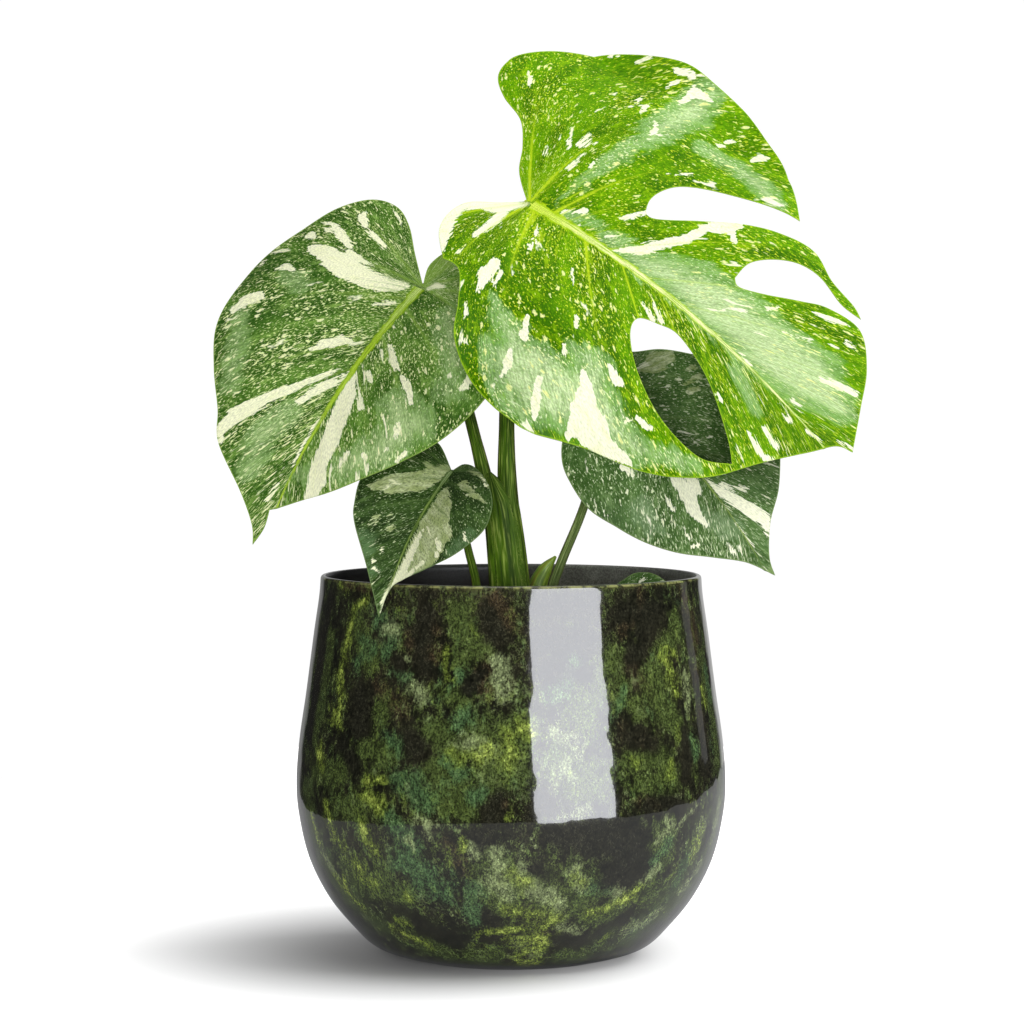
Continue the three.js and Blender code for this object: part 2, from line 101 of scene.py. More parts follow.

# RIM_GAP, RIB_GAP and RIB_STEP are in steps of a blade's mesh, and RIB_ROWS in widths of its midrib.
# Each blade lies round a flat frame at the top of its stalk: a runs along the midrib and b across it.
# lean, fan and sweep say how its side veins leave the midrib, and side_veins where each of them
# starts, above the midrib (b > 0) and below it. cream and sage are painted patches, and the third
# list paints pale mist, partly a marking and partly painted sheen where the leaf would shine in the
# lamps; all three are strokes of (a, b, half-width).
LEAVES = {
    "large": dict(
        attach=(12, -8, 492), facing=18, rise=30, turn=-45, length=265, half_width=110,
        bow=12, fold=0.16, fold_radius=8, arch=16, droop=20, lift=6, wave=4, waves=2.5, phase=0.4,
        mesh=2.4, lean=0.15, fan=3.5, sweep=0.7, quilt=0.75, rib=3.0, rib_depth=2.4,
        side_veins=(
            (-150, -83, -16, 15, 57, 88, 116, 142, 168, 194, 222, 262),
            (-130, -78, -38, 5, 42, 70, 98, 126, 154, 184, 214, 262),
        ),
        rim=[
            [
                (-2, 0), (-19, 14), (-29, 31), (-42, 46), (-60, 52), (-72, 61), (-75, 74), (-71, 90),
                (-49, 128), (-35, 150), (-17, 164), (9, 173), (33, 176), (65, 181), (92, 171),
                (115, 155), (140, 127),
            ],
            [
                (140, 127), (126, 121), (88, 102), (68, 86), (59, 70), (58, 56), (66, 49), (91, 71),
                (112, 89), (136, 105), (161, 117), (182, 108), (203, 102), (213, 96),
            ],
            [(213, 96), (197, 96), (176, 103), (160, 99), (145, 86), (134, 70), (133, 54)],
            [
                (133, 54), (139, 51), (155, 60), (175, 75), (192, 86), (217, 88), (237, 68), (250, 43),
                (264, 15),
            ],
            [
                (264, 15), (253, 10), (242, -9), (224, -42), (207, -75), (190, -93), (171, -103),
                (135, -113), (101, -132), (84, -135), (49, -127), (23, -115), (11, -98), (-3, -80),
                (-15, -81),
            ],
            [(-15, -81), (-29, -66), (-33, -50), (-29, -32), (-14, -15), (-2, 0)],
        ],
        holes=[
            [
                (210, -60), (191, -73), (158, -68), (126, -53), (107, -35), (103, -20), (115, -12),
                (131, -8), (162, -20), (195, -45), (210, -60),
            ],
        ],
        cream=[
            # the pale edge of the lower back lobe
            [
                (-1, -2, 1.6), (-6, -9, 3.1), (-12, -19, 5.6), (-18, -24, 5), (-24, -27, 3.7),
                (-30, -37, 4), (-32, -48, 5), (-29, -58, 5), (-24, -68, 3.7), (-20, -77, 1.9),
            ],
            [(-11, -52, 1.2), (-9, -42, 2.5), (-8, -29, 3.1), (-8, -21, 3.1)],
            # close round the stalk
            [(21, -30, 1.9), (15, -10, 0.6)],
            [(19, 9, 0.6), (30, 21, 1.9)],
            [(-2, 56, 1.6), (-1, 69, 1.6)],
            [(1, 58, 1.2), (5, 66, 1.2)],
            [(-6, 51, 1.6), (-13, 65, 0.6)],
            [(4, 38, 1.9), (5, 54, 0.9)],
            [(14, 48, 0.9), (14, 56, 0.9)],
            [(-14, 35, 0.9), (-16, 41, 0.9)],
            # the upper back lobe and the first finger
            [(-52, 71, 0.9), (-59, 80, 1.6)],
            [(-15, 158, 1.9), (-11, 166, 1.9)],
            [(-32, 151, 1.2), (-28, 155, 1.2)],
            [(13, 111, 1.6), (13, 120, 1.6)],
            [(6, 115, 1.2), (6, 122, 1.2)],
            [(11, 164, 3.1), (19, 169, 3.7)],
            [(26, 144, 0.9), (29, 160, 3.7), (41, 166, 1.9)],
            [(12, 149, 0.9), (16, 157, 1.9)],
            [(26, 111, 1.9), (29, 106, 2.2), (29, 96, 1.2)],
            [(87, 153, 1.2), (90, 160, 2.8), (96, 161, 0.9)],
            [(64, 143, 1.6), (68, 159, 1.6)],
            [(53, 83, 0.9), (60, 90, 0.9)],
            [(61, 93, 0.6), (68, 101, 0.9)],
            # the second finger
            [(51, 33, 1.2), (62, 50, 2.2)],
            [
                (61, 12, 1.2), (74, 25, 3.7), (94, 56, 3.1), (97, 70, 3.1), (102, 75, 5.6), (109, 81, 5),
                (113, 88, 2.5),
            ],
            [(110, 81, 2.5), (117, 75, 1.9)],
            [(162, 52, 1.2), (167, 59, 1.6)],
            # the third finger
            [(187, 75, 1.2), (199, 80, 2.2), (210, 85, 0.9)],
            [(180, 47, 0.9), (198, 57, 0.7)],
            [(133, 24, 0.7), (153, 41, 0.9)],
            [(215, 72, 1.2), (223, 74, 1.6)],
            [(208, 63, 1.2), (213, 65, 1.2)],
            [(218, 39, 1.6), (231, 44, 2.8), (242, 48, 1.9)],
            # below the midrib, from the back lobe to the window
            [(15, -83, 1.2), (12, -71, 4.3), (12, -58, 3.7)],
            [(18, -61, 1.9), (23, -76, 0.6)],
            [(50, -73, 1.2), (57, -87, 2.5)],
            [(55, -96, 0.9), (59, -106, 3.1), (63, -115, 0.9)],
            [(82, -104, 1.9), (89, -116, 3.1), (97, -125, 1.9)],
            [(101, -82, 1.9), (117, -99, 9.9), (127, -104, 11.2), (140, -105, 6.8), (159, -104, 1.9)],
            [(119, -109, 7.4), (119, -118, 2.5)],
            [(110, -65, 1.6), (121, -69, 3.4)],
            [(79, -75, 1.2), (83, -80, 1.9)],
            [(71, -49, 0.6), (78, -58, 1.6)],
            [(49, -22, 0.6), (58, -32, 0.9)],
            [(99, -7, 0.6), (111, -13, 2.5)],
            [(103, -1, 0.6), (116, -9, 1.9)],
            [(131, -79, 0.6), (141, -85, 1.9)],
            [(144, -79, 1.9), (155, -78, 2.2)],
            [(15, -96, 0.9), (22, -102, 0.9)],
            [(25, -112, 1.2), (32, -112, 0.9)],
            # beyond the window
            [(207, 5, 0.9), (219, 0, 2.8)],
            [(212, 14, 1.6), (220, 12, 1.9), (229, 10, 0.6)],
            [(205, -31, 1.2), (214, -36, 1.9), (223, -38, 2.5), (230, -33, 0.6)],
            [(211, -20, 2.2), (224, -24, 2.8)],
            [(233, 4, 1.6), (243, 5, 0.7)],
            [(252, 14, 0.6), (263, 17, 1.2)],
            [(168, 14, 0.9), (177, 12, 1.6)],
            [(173, -25, 1.2), (178, -27, 1.9)],
        ],
        sage=[],
        # pale mist, partly painted sheen
        veil=[
            [(13, 12, 1), (20, 55, 4), (30, 100, 10), (36, 150, 14), (38, 174, 9)],
            [(60, 128, 8), (86, 136, 10), (121, 122, 8)],
            [(22, 10, 3), (40, 18, 5)],
            [(48, 16, 4), (79, 18, 11), (121, 29, 20), (169, 32, 25), (211, 34, 24), (240, 32, 13)],
            [(24, -79, 2), (35, -86, 7), (48, -90, 12)],
            [(42, -104, 7), (60, -103, 20), (86, -108, 26), (112, -96, 20)],
            [(86, -74, 6), (104, -72, 11), (112, -88, 16), (150, -96, 12), (172, -90, 9), (192, -80, 4)],
            [(172, 1, 5), (198, -13, 5)],
        ],
    ),
    "left": dict(
        attach=(-58, 2, 438), facing=-12, rise=30, turn=-115, length=210, half_width=95,
        bow=-10, fold=0.26, fold_radius=7, arch=16, droop=16, lift=5, wave=3, waves=2, phase=0.9,
        mesh=2.3, lean=0.3, fan=2.6, sweep=0.7, quilt=0.6, rib=2.3, rib_depth=2.0,
        side_veins=(
            (-120, -76, -38, -8, 18, 42, 68, 94, 120, 148, 176, 208),
            (-110, -62, -22, 11, 48, 70, 94, 118, 142, 168, 190, 208),
        ),
        rim=[
            [
                (-1, 0), (-18, -16), (-34, -30), (-42, -44), (-39, -61), (-24, -77), (-2, -91),
                (24, -108), (48, -112), (85, -107), (113, -92), (137, -74), (157, -61), (179, -31),
                (194, -14), (205, -7),
            ],
            [(205, -7), (192, -6), (180, -9)],
            [
                (180, -9), (168, 6), (155, 24), (140, 40), (120, 59), (96, 74), (60, 83), (36, 84),
                (14, 76), (-6, 61), (-26, 41), (-37, 21), (-34, 4), (-17, -4), (-1, 0),
            ],
        ],
        holes=[],
        cream=[
            # the wide patch behind the stalk, and its arm
            [
                (11, -79, 2.5), (10, -70, 5.6), (12, -57, 8.1), (13, -45, 8.1), (13, -31, 6.2),
                (10, -19, 5), (5, -10, 2.5),
            ],
            [(4, -52, 3.7), (3, -35, 0.6)],
            [(-9, -81, 1.2), (-10, -74, 2.2), (-6, -64, 3.4), (-1, -55, 1.9)],
            # along the upper margin
            [(-25, -60, 2.8), (-20, -55, 2.5)],
            [(-17, -51, 0.9), (-15, -43, 1.9), (-12, -36, 1.9)],
            [(5, -89, 0.9), (2, -83, 2.5)],
            [(33, -110, 1.2), (27, -106, 1.2)],
            [(32, -93, 0.9), (28, -89, 2.5), (29, -82, 1.9)],
            [(72, -102, 1.9), (62, -98, 4.3), (55, -92, 4.3)],
            # stripes out from the midrib
            [(74, -40, 1.2), (66, -34, 3.1), (58, -26, 3.4), (56, -17, 0.9), (51, -13, 0.4)],
            [
                (76, -17, 0.9), (98, -34, 2.5), (118, -49, 4.3), (137, -61, 5.3), (149, -64, 3.7),
                (156, -60, 1.9),
            ],
            [(76, -10, 1.9), (91, -20, 2.8), (109, -29, 1.9)],
            [
                (74, -8, 1.9), (86, -4, 5), (106, 1, 6.5), (122, 4, 6.8), (142, 7, 5.9), (153, 12, 6.2),
                (162, 13, 5),
            ],
            # the side nearer the large leaf
            [(83, 1, 1.2), (95, 12, 2.5)],
            [(48, 4, 1.6), (55, 11, 2.5), (63, 20, 1.6)],
            [(66, 27, 2.2), (72, 35, 2.8), (80, 43, 1.6)],
            [(71, 2, 1.9), (75, 8, 1.9)],
            [(57, 68, 2.5), (47, 69, 3.1)],
            [(0, 5, 1.2), (-4, 9, 2.5), (-4, 15, 1.2)],
            [(97, 43, 1.6), (106, 47, 1.9)],
            [(110, 42, 0.6), (117, 46, 1.2)],
            [(120, 57, 1.9), (113, 58, 1.2)],
            [(137, 21, 1.2), (127, 21, 2.2)],
            [(125, 33, 1.9), (126, 36, 1.2)],
            # fine lines near the tip and the stalk
            [(152, -13, 0.5), (175, -13, 1.6)],
            [(112, -11, 0.9), (129, -12, 1.2), (147, -11, 0.6)],
            [(18, -10, 0.9), (27, -21, 1.2)],
        ],
        sage=[],
        # pale mist, partly painted sheen
        veil=[
            [(70, -98, 5), (93, -84, 8), (120, -74, 5)],
            [(32, -87, 6), (37, -71, 9)],
            [(15, 30, 9), (38, 50, 12), (62, 62, 10)],
            [(84, 34, 12), (96, 50, 18), (118, 42, 16), (136, 26, 11)],
            [(152, -8, 4), (150, 4, 8)],
            [(164, -34, 9), (140, -38, 10), (116, -30, 7)],
        ],
    ),
    "low": dict(
        attach=(-38, -41, 319), facing=-10, rise=50, turn=-101, length=139, half_width=55,
        bow=-6, fold=0.42, fold_radius=4, arch=8, droop=8, lift=3, wave=1.5, waves=1.5, phase=0.3,
        mesh=1.9, lean=0.35, fan=2.5, sweep=0.7, quilt=0.3, rib=1.3, rib_depth=1.3,
        side_veins=(
            (-70, -42, -14, 10, 30, 52, 74, 98, 120, 138),
            (-70, -42, -14, 8, 27, 48, 70, 94, 118, 138),
        ),
        rim=[
            [
                (0, 0), (-18, -14), (-19, -25), (-10, -37), (5, -46), (30, -50), (50, -47), (68, -41),
                (99, -22), (132, -3),
            ],
            [
                (132, -3), (108, -4), (100, 3), (94, 16), (85, 30), (72, 39), (59, 44), (47, 44),
                (37, 42), (26, 37), (14, 29), (3, 20), (-4, 12), (-6, 5), (0, 0),
            ],
        ],
        holes=[],
        cream=[
            [
                (88, 12, 1.2), (97, 5, 2.2), (104, -1, 2.5), (113, -4, 2.2), (127, -3, 1.2),
            ],
            [(68, 14, 0.9), (76, 19, 1.9), (84, 20, 1.2)],
            [(58, 0, 1.5), (78, 0, 2.8), (94, 0, 3.4), (108, -2, 2.5)],
            [(26, -31, 1.9), (26, -26, 1.2)],
            [(10, 24, 0.6), (21, 33, 0.9)],
            [(92, -20, 1.2), (91, -21, 0.6)],
            [(82, -18, 1.2), (80, -18, 0.6)],
            [(97, -18, 1.2), (98, -16, 0.9)],
            [(64, 32, 0.6), (70, 35, 0.9)],
        ],
        sage=[
            [(36, -40, 2.4), (30, -31, 7.4), (21, -19, 8), (12, -11, 6.2), (-1, -4, 3.1)],
            [(2, -16, 1.9), (7, -9, 3.7)],
            [
                (20, 2, 2.5), (34, 5, 7), (50, 6, 10), (68, 10, 14), (84, 9, 13), (99, 1, 6.5),
                (113, -4, 2.5), (126, -3, 1.2),
            ],
            [(16, 13, 3.1), (28, 25, 1.9), (37, 36, 0.9)],
            [(2, 13, 0.9), (9, 23, 1.6), (22, 35, 1.2)],
            [(59, -30, 1.9), (55, -28, 0.6)],
            [(66, -32, 1.2), (62, -28, 0.6)],
            [(55, -24, 0.7), (52, -22, 0.9)],
            [(64, -20, 1.9), (60, -18, 1.2)],
        ],
        # pale mist, partly painted sheen
        veil=[[(65, 36, 6.2), (79, 31, 6.2)], [(79, -30, 5), (100, -20, 3.7)]],
    ),
    "right": dict(
        attach=(63, 8, 375), facing=10, rise=25, turn=-54, length=169, half_width=70,
        bow=8, fold=0.22, fold_radius=6, arch=10, droop=12, lift=4, wave=2.5, waves=2, phase=1.6,
        mesh=2.1, lean=0.3, fan=2.8, sweep=0.7, quilt=0.45, rib=1.7, rib_depth=1.6,
        side_veins=(
            (-90, -52, -20, 8, 34, 60, 86, 110, 136, 168),
            (-90, -52, -20, 10, 38, 64, 88, 112, 138, 168),
        ),
        rim=[
            [
                (-1, -1), (-14, 2), (-15, 16), (-5, 28), (4, 42), (18, 56), (34, 71), (54, 79), (76, 75),
                (97, 67), (123, 45), (138, 25), (155, 10), (167, 5),
            ],
            [
                (167, 5), (150, -5), (134, -24), (120, -40), (103, -52), (82, -62), (60, -70), (35, -66),
                (20, -58), (8, -44), (-2, -26), (-1, -1),
            ],
        ],
        holes=[],
        cream=[
            [(52, -34, 1.2), (58, -31, 2.5), (62, -33, 0.9)],
            [(79, -8, 4.3), (93, -9, 5.6), (103, -13, 4.3), (115, -12, 1.9)],
            [(83, 1, 3.7), (92, -1, 3.7)],
            [
                (91, 10, 0.9), (103, 12, 3.1), (116, 17, 4), (128, 20, 4.7), (135, 23, 3.7),
                (144, 18, 1.2),
            ],
            [(99, 15, 1.2), (112, 25, 1.6)],
            [(85, -23, 0.9), (94, -25, 1.6)],
            [(108, -27, 1.2), (115, -29, 1.2)],
            [(132, -9, 1.2), (139, -9, 1.9)],
            [(138, -3, 0.9), (143, -4, 0.9)],
            [(125, 6, 0.5), (147, 6, 0.6)],
            [(121, -31, 1.2), (123, -26, 1.2)],
            [(67, -63, 0.9), (71, -64, 1.2)],
            [(5, 19, 0.6), (6, 28, 1.6)],
            [(66, 19, 0.6), (71, 30, 0.7)],
            [(23, 29, 0.9), (27, 28, 0.6)],
        ],
        sage=[
            [(7, 22, 1.9), (9, 34, 7.4), (11, 43, 4.3)],
            [(32, 39, 1.2), (34, 51, 1.9)],
            [(38, 39, 2.5), (40, 44, 2.5)],
            [(26, 46, 1.2), (27, 52, 1.9)],
        ],
        # pale mist, partly painted sheen
        veil=[[(109, -8, 5), (125, -1, 8.7)], [(82, -43, 8.7), (100, -41, 6.2)]],
    ),
    "inner": dict(
        attach=(71, 4, 238), facing=8, rise=50, turn=0, length=36, half_width=22,
        bow=0, fold=0.25, fold_radius=3, arch=3, droop=3, lift=1, wave=0.6, waves=1.5, phase=0.5,
        mesh=1.2, lean=0.3, fan=2.5, sweep=0.5, quilt=0.12, rib=0.7, rib_depth=0.6,
        side_veins=((-24, -8, 5, 13, 21, 29, 36), (-24, -8, 5, 13, 21, 29, 36)),
        rim=[
            [(0, -1), (-1, 6), (4, 10), (12, 16), (19, 17.5), (25, 16), (32, 11), (37, 3)],
            [(37, 3), (31, -9), (21, -17), (11, -19), (2, -14), (0, -1)],
        ],
        holes=[],
        cream=[[(14, 8, 0.6), (18, 12, 1.0)], [(22, -6, 0.5), (26, -9, 0.7)]],
        sage=[],
        veil=[],
    ),
}

# Stalks: points up the centre line, then half the width and half the depth at each of them.
STALKS = {
    "large": dict(
        leaf="large", sides=40, steps=110, ribs=9,
        points=[
            (7, 0, SOIL_TOP - ROOT_DEPTH), (6.5, 0, SOIL_TOP + 4), (4.5, 0, 243), (0, 0, 280),
            (-2.5, 0, 312), (-2.8, 0, 344), (-1.5, 1, 400), (3, 4, 450), (8, 6, 476),
        ],
        width=(7.6, 7.5, 7.1, 7, 6.2, 5, 4.5, 4.1, 3.9, 3.6),
        depth=(6.2, 6.2, 6, 5.9, 5.6, 4.8, 4.3, 4, 3.9, 3.6),
    ),
    "left": dict(
        leaf="left", sides=36, steps=100, ribs=8,
        points=[
            (-6.5, 0, SOIL_TOP - ROOT_DEPTH), (-6.5, 0, SOIL_TOP + 4), (-7.5, 0, 243),
            (-10.5, 0, 280), (-17, 1, 312), (-23, 3, 337), (-32, 8, 370), (-45, 14, 405),
            (-54, 15, 424),
        ],
        width=(6.2, 6.1, 6, 5.8, 5, 3.9, 3.7, 3.5, 3.4, 3.2),
        depth=(5.7, 5.7, 5.6, 5.5, 4.8, 3.9, 3.7, 3.5, 3.4, 3.2),
    ),
    "sheath": dict(
        leaf=None, sides=72, steps=90, ribs=13,
        points=[
            (0.9, 0, SOIL_TOP - ROOT_DEPTH), (0.7, 0, SOIL_TOP + 4), (-0.9, 0, 243), (-4.6, 0, 280),
            (-7.3, -0.5, 298), (-10.5, -2, 308), (-14, -3.5, 317),
        ],
        width=(14.4, 14.2, 13.4, 12.3, 11.8, 6, 0.8),
        depth=(7.2, 7.2, 7, 6.8, 6.2, 4, 0.7),
    ),
    "low": dict(
        leaf="low", sides=24, steps=60, ribs=6,
        points=[
            (-22, -12, SOIL_TOP - ROOT_DEPTH), (-22, -12, SOIL_TOP + 4), (-22.5, -13, 243),
            (-28, -20, 268), (-33.5, -28, 292), (-36, -31, 305),
        ],
        width=(3.4, 3.3, 2.9, 2.6, 2.4, 2.3, 2.2),
        depth=(3.4, 3.3, 2.9, 2.6, 2.4, 2.3, 2.2),
    ),
    "right": dict(
        leaf="right", sides=24, steps=80, ribs=6,
        points=[
            (22, 2, SOIL_TOP - ROOT_DEPTH), (22, 2, SOIL_TOP + 4), (27.5, 3, 243), (33.5, 5, 259),
            (48.5, 11, 296), (58, 19, 336), (61.5, 20.5, 362),
        ],
        width=(3.8, 3.7, 3.2, 3.1, 2.9, 2.7, 2.6, 2.5),
        depth=(3.8, 3.7, 3.2, 3.1, 2.9, 2.7, 2.6, 2.5),
    ),
    "inner": dict(
        leaf="inner", sides=16, steps=30, ribs=5,
        points=[
            (48, 9, SOIL_TOP - ROOT_DEPTH), (48, 9, SOIL_TOP + 6), (53, 12, 229), (64, 12, 230.5),
        ],
        width=(2.2, 2.1, 1.9, 1.7, 1.6),
        depth=(2.2, 2.1, 1.9, 1.7, 1.6),
    ),
    "shoot": dict(
        leaf=None, sides=48, steps=70, ribs=0,
        points=[
            (15, 16, SOIL_TOP - ROOT_DEPTH), (15, 16, SOIL_TOP + 4), (17.5, 16, 241),
            (22.5, 15.5, 252), (29.5, 15, 261),
        ],
        width=(5.6, 5.8, 6.4, 4.8, 0.8),
        depth=(4.2, 4.4, 4.6, 3.4, 0.7),
    ),
}


# Meshes

def put_in_scene(name, data):
    """A new object in the scene, for a mesh, a lamp or a camera."""
    piece = bpy.data.objects.new(name, data)
    bpy.context.scene.collection.objects.link(piece)
    return piece


def new_mesh(name, points, faces):
    mesh = bpy.data.meshes.new(name)
    mesh.from_pydata([tuple(point) for point in points], [], faces)
    return mesh


def soften(mesh, smooth_angle):
    """Soft shading between the edges that turn by more than the angle, in degrees."""
    mesh.shade_smooth()
    mesh.set_sharp_from_angle(angle=math.radians(smooth_angle))


def make_object(name, points, faces, smooth_angle):
    """A mesh object from points in millimetres, at the origin."""
    mesh = new_mesh(name, np.asarray(points) * MM, faces)
    mesh.update()
    soften(mesh, smooth_angle)
    return put_in_scene(name, mesh)


def take_modified_mesh(piece):
    """Makes what the piece's modifiers give its own plain mesh, and takes them off."""
    depsgraph = bpy.context.evaluated_depsgraph_get()
    plain = bpy.data.meshes.new_from_object(piece.evaluated_get(depsgraph), depsgraph=depsgraph)
    piece.modifiers.clear()
    piece.data = plain
    return plain


def add_vectors(mesh, name, values):
    layer = mesh.attributes.new(name, "FLOAT_VECTOR", "POINT")
    layer.data.foreach_set("vector", np.asarray(values, dtype=np.float32).ravel())


def take_finish(piece, *materials):
    for material in materials:
        piece.data.materials.append(material)


def stand_for(piece, slot, *nodes):
    """Every new piece rides on the plant's one body and stands for its nodes. slot is not used."""
    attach(piece, "root")
    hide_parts(*nodes)


# Curves

def even_curve(points, spans=16):
    """The smooth curve through the points, as in the model: evenly timed, its ends repeated."""
    points = np.asarray(points, dtype=float)
    last = len(points) - 1
    out = []
    for i in range(last):
        p0 = points[max(i - 1, 0)]
        p1 = points[i]
        p2 = points[i + 1]
        p3 = points[min(i + 2, last)]
        v0 = (p2 - p0) / 2
        v1 = (p3 - p1) / 2
        for t in np.arange(spans) / spans:
            cubic = (2 * p1 - 2 * p2 + v0 + v1) * t**3
            square = (-3 * p1 + 3 * p2 - 2 * v0 - v1) * t**2
            out.append(cubic + square + v0 * t + p1)
    out.append(points[-1])
    return np.array(out)


def spaced(curve, spacing):
    lengths = np.linalg.norm(np.diff(curve, axis=0), axis=1)
    reach = np.concatenate(([0.0], np.cumsum(lengths)))
    count = max(2, round(reach[-1] / spacing))
    stops = np.linspace(0, reach[-1], count + 1)
    return np.column_stack([np.interp(stops, reach, column) for column in curve.T])


def outline_of(stretches, spacing):
    return np.concatenate([spaced(even_curve(stretch), spacing)[:-1] for stretch in stretches])


def stalk_curve(points, t):
    """The centripetal curve through a stalk's points at t, from 0 to 1."""
    last = len(points) - 1
    place = t * last
    i = min(int(place), last - 1)
    weight = place - i
    p1 = points[i]
    p2 = points[i + 1]
    p0 = points[i - 1] if i > 0 else 2 * points[0] - points[1]
    p3 = points[i + 2] if i + 2 <= last else 2 * points[last] - points[last - 1]
    d0, d1, d2 = ((q - p).length ** 0.5 for p, q in ((p0, p1), (p1, p2), (p2, p3)))
    v1 = ((p1 - p0) / d0 - (p2 - p0) / (d0 + d1) + (p2 - p1) / d1) * d1
    v2 = ((p2 - p1) / d1 - (p3 - p1) / (d1 + d2) + (p3 - p2) / d2) * d1
    cubic = (2 * p1 - 2 * p2 + v1 + v2) * weight**3
    square = (-3 * p1 + 3 * p2 - 2 * v1 - v2) * weight**2
    return cubic + square + v1 * weight + p1


# Blades

def rib_bow(leaf, share):
    """How far the midrib bows to one side, at a share of the leaf's length."""
    return leaf["bow"] * 4 * share * (1 - share)


def rib_offset(leaf, a, b):
    return b - rib_bow(leaf, np.clip(a / leaf["length"], 0, 1))


def blade_rise(leaf, a, b):
    along = a / leaf["length"]
    off = rib_offset(leaf, a, b)
    out = np.minimum(np.abs(off) / leaf["half_width"], 1.3)
    beat = 2 * np.pi * leaf["waves"] * along + leaf["phase"] + np.where(off > 0, 0, 1.9)
    rise = leaf["fold"] * (np.hypot(off, leaf["fold_radius"]) - leaf["fold_radius"])
    rise = rise - leaf["arch"] * out**3
    rise = rise - leaf["droop"] * np.maximum(along, 0) ** 2
    rise = rise - 4 * leaf["lift"] * np.maximum(-along, 0) ** 2
    return rise + leaf["wave"] * out**2 * np.sin(beat)


def vein_flow(leaf, a, b):
    """How the side veins run: across counts off the veins, along follows them, and spread is how far
    apart two lines of across one millimetre apart really are. Behind the stalk they fan out from it."""
    length = leaf["length"]
    off = rib_offset(leaf, a, b)
    reach = np.abs(off)
    share = reach / leaf["half_width"]
    sweep = leaf["sweep"] * leaf["half_width"] / 3 * share**3
    start = a - leaf["lean"] * reach - sweep
    widening = 1 + leaf["fan"] * reach / length
    slope = leaf["lean"] + leaf["sweep"] * share**2
    first_angle = np.arctan2(np.maximum(reach, 1e-6), leaf["lean"] * np.maximum(reach, 1e-6) + sweep)
    angle = np.arctan2(reach, a)
    radius = np.hypot(a, reach)
    fan_radius = 0.4 * length
    behind = start < 0
    across = np.where(behind, (first_angle - angle) * fan_radius, start / widening)
    along = np.where(behind, radius * np.sin(first_angle), reach) * np.where(off < 0, -1, 1)
    spread = np.where(behind, radius / fan_radius, widening / np.hypot(1, slope))
    return across, along, spread


def vein_count(leaf, across, along):
    """Which side vein a point is at, as a running number, and the gap to the next in across."""
    counts = []
    gaps = []
    for starts in leaf["side_veins"]:
        starts = np.array(starts, dtype=float)
        counts.append(np.interp(across, starts, np.arange(len(starts))))
        place = np.clip(np.searchsorted(starts, across) - 1, 0, len(starts) - 2)
        gaps.append(np.diff(starts)[place])
    return np.where(along >= 0, counts[0], counts[1]), np.where(along >= 0, gaps[0], gaps[1])


def inside(outline, x, y):
    here = outline
    there = np.roll(outline, -1, axis=0)
    odd = np.zeros(len(x), dtype=bool)
    for (x0, y0), (x1, y1) in zip(here, there):
        if y0 != y1:
            crosses = ((y0 > y) != (y1 > y)) & (x < x0 + (y - y0) * (x1 - x0) / (y1 - y0))
            odd ^= crosses
    return odd


def distance_to(outline, x, y):
    here = outline
    there = np.roll(outline, -1, axis=0)
    least = np.full(len(x), np.inf)
    for (x0, y0), (x1, y1) in zip(here, there):
        dx, dy = x1 - x0, y1 - y0
        along = np.clip(((x - x0) * dx + (y - y0) * dy) / (dx * dx + dy * dy + 1e-12), 0, 1)
        least = np.minimum(least, np.hypot(x - x0 - along * dx, y - y0 - along * dy))
    return least


WELL_OUTSIDE = -30.0


def painted(strokes, a, b):
    """How deep each point lies inside a list of strokes, in millimetres: below 0 is outside."""
    deepest = np.full(len(a), WELL_OUTSIDE)
    for stroke in strokes:
        for (a0, b0, r0), (a1, b1, r1) in zip(stroke, stroke[1:]):
            da, db = a1 - a0, b1 - b0
            along = np.clip(((a - a0) * da + (b - b0) * db) / (da * da + db * db), 0, 1)
            away = np.hypot(a - a0 - along * da, b - b0 - along * db)
            deepest = np.maximum(deepest, r0 + along * (r1 - r0) - away)
    return deepest


def on_blade(rim, holes, points):
    x, y = points.T
    kept = inside(rim, x, y)
    for hole in holes:
        kept &= ~inside(hole, x, y)
    return kept


def edge_distance(outlines, points):
    return np.minimum.reduce([distance_to(outline, *points.T) for outline in outlines])


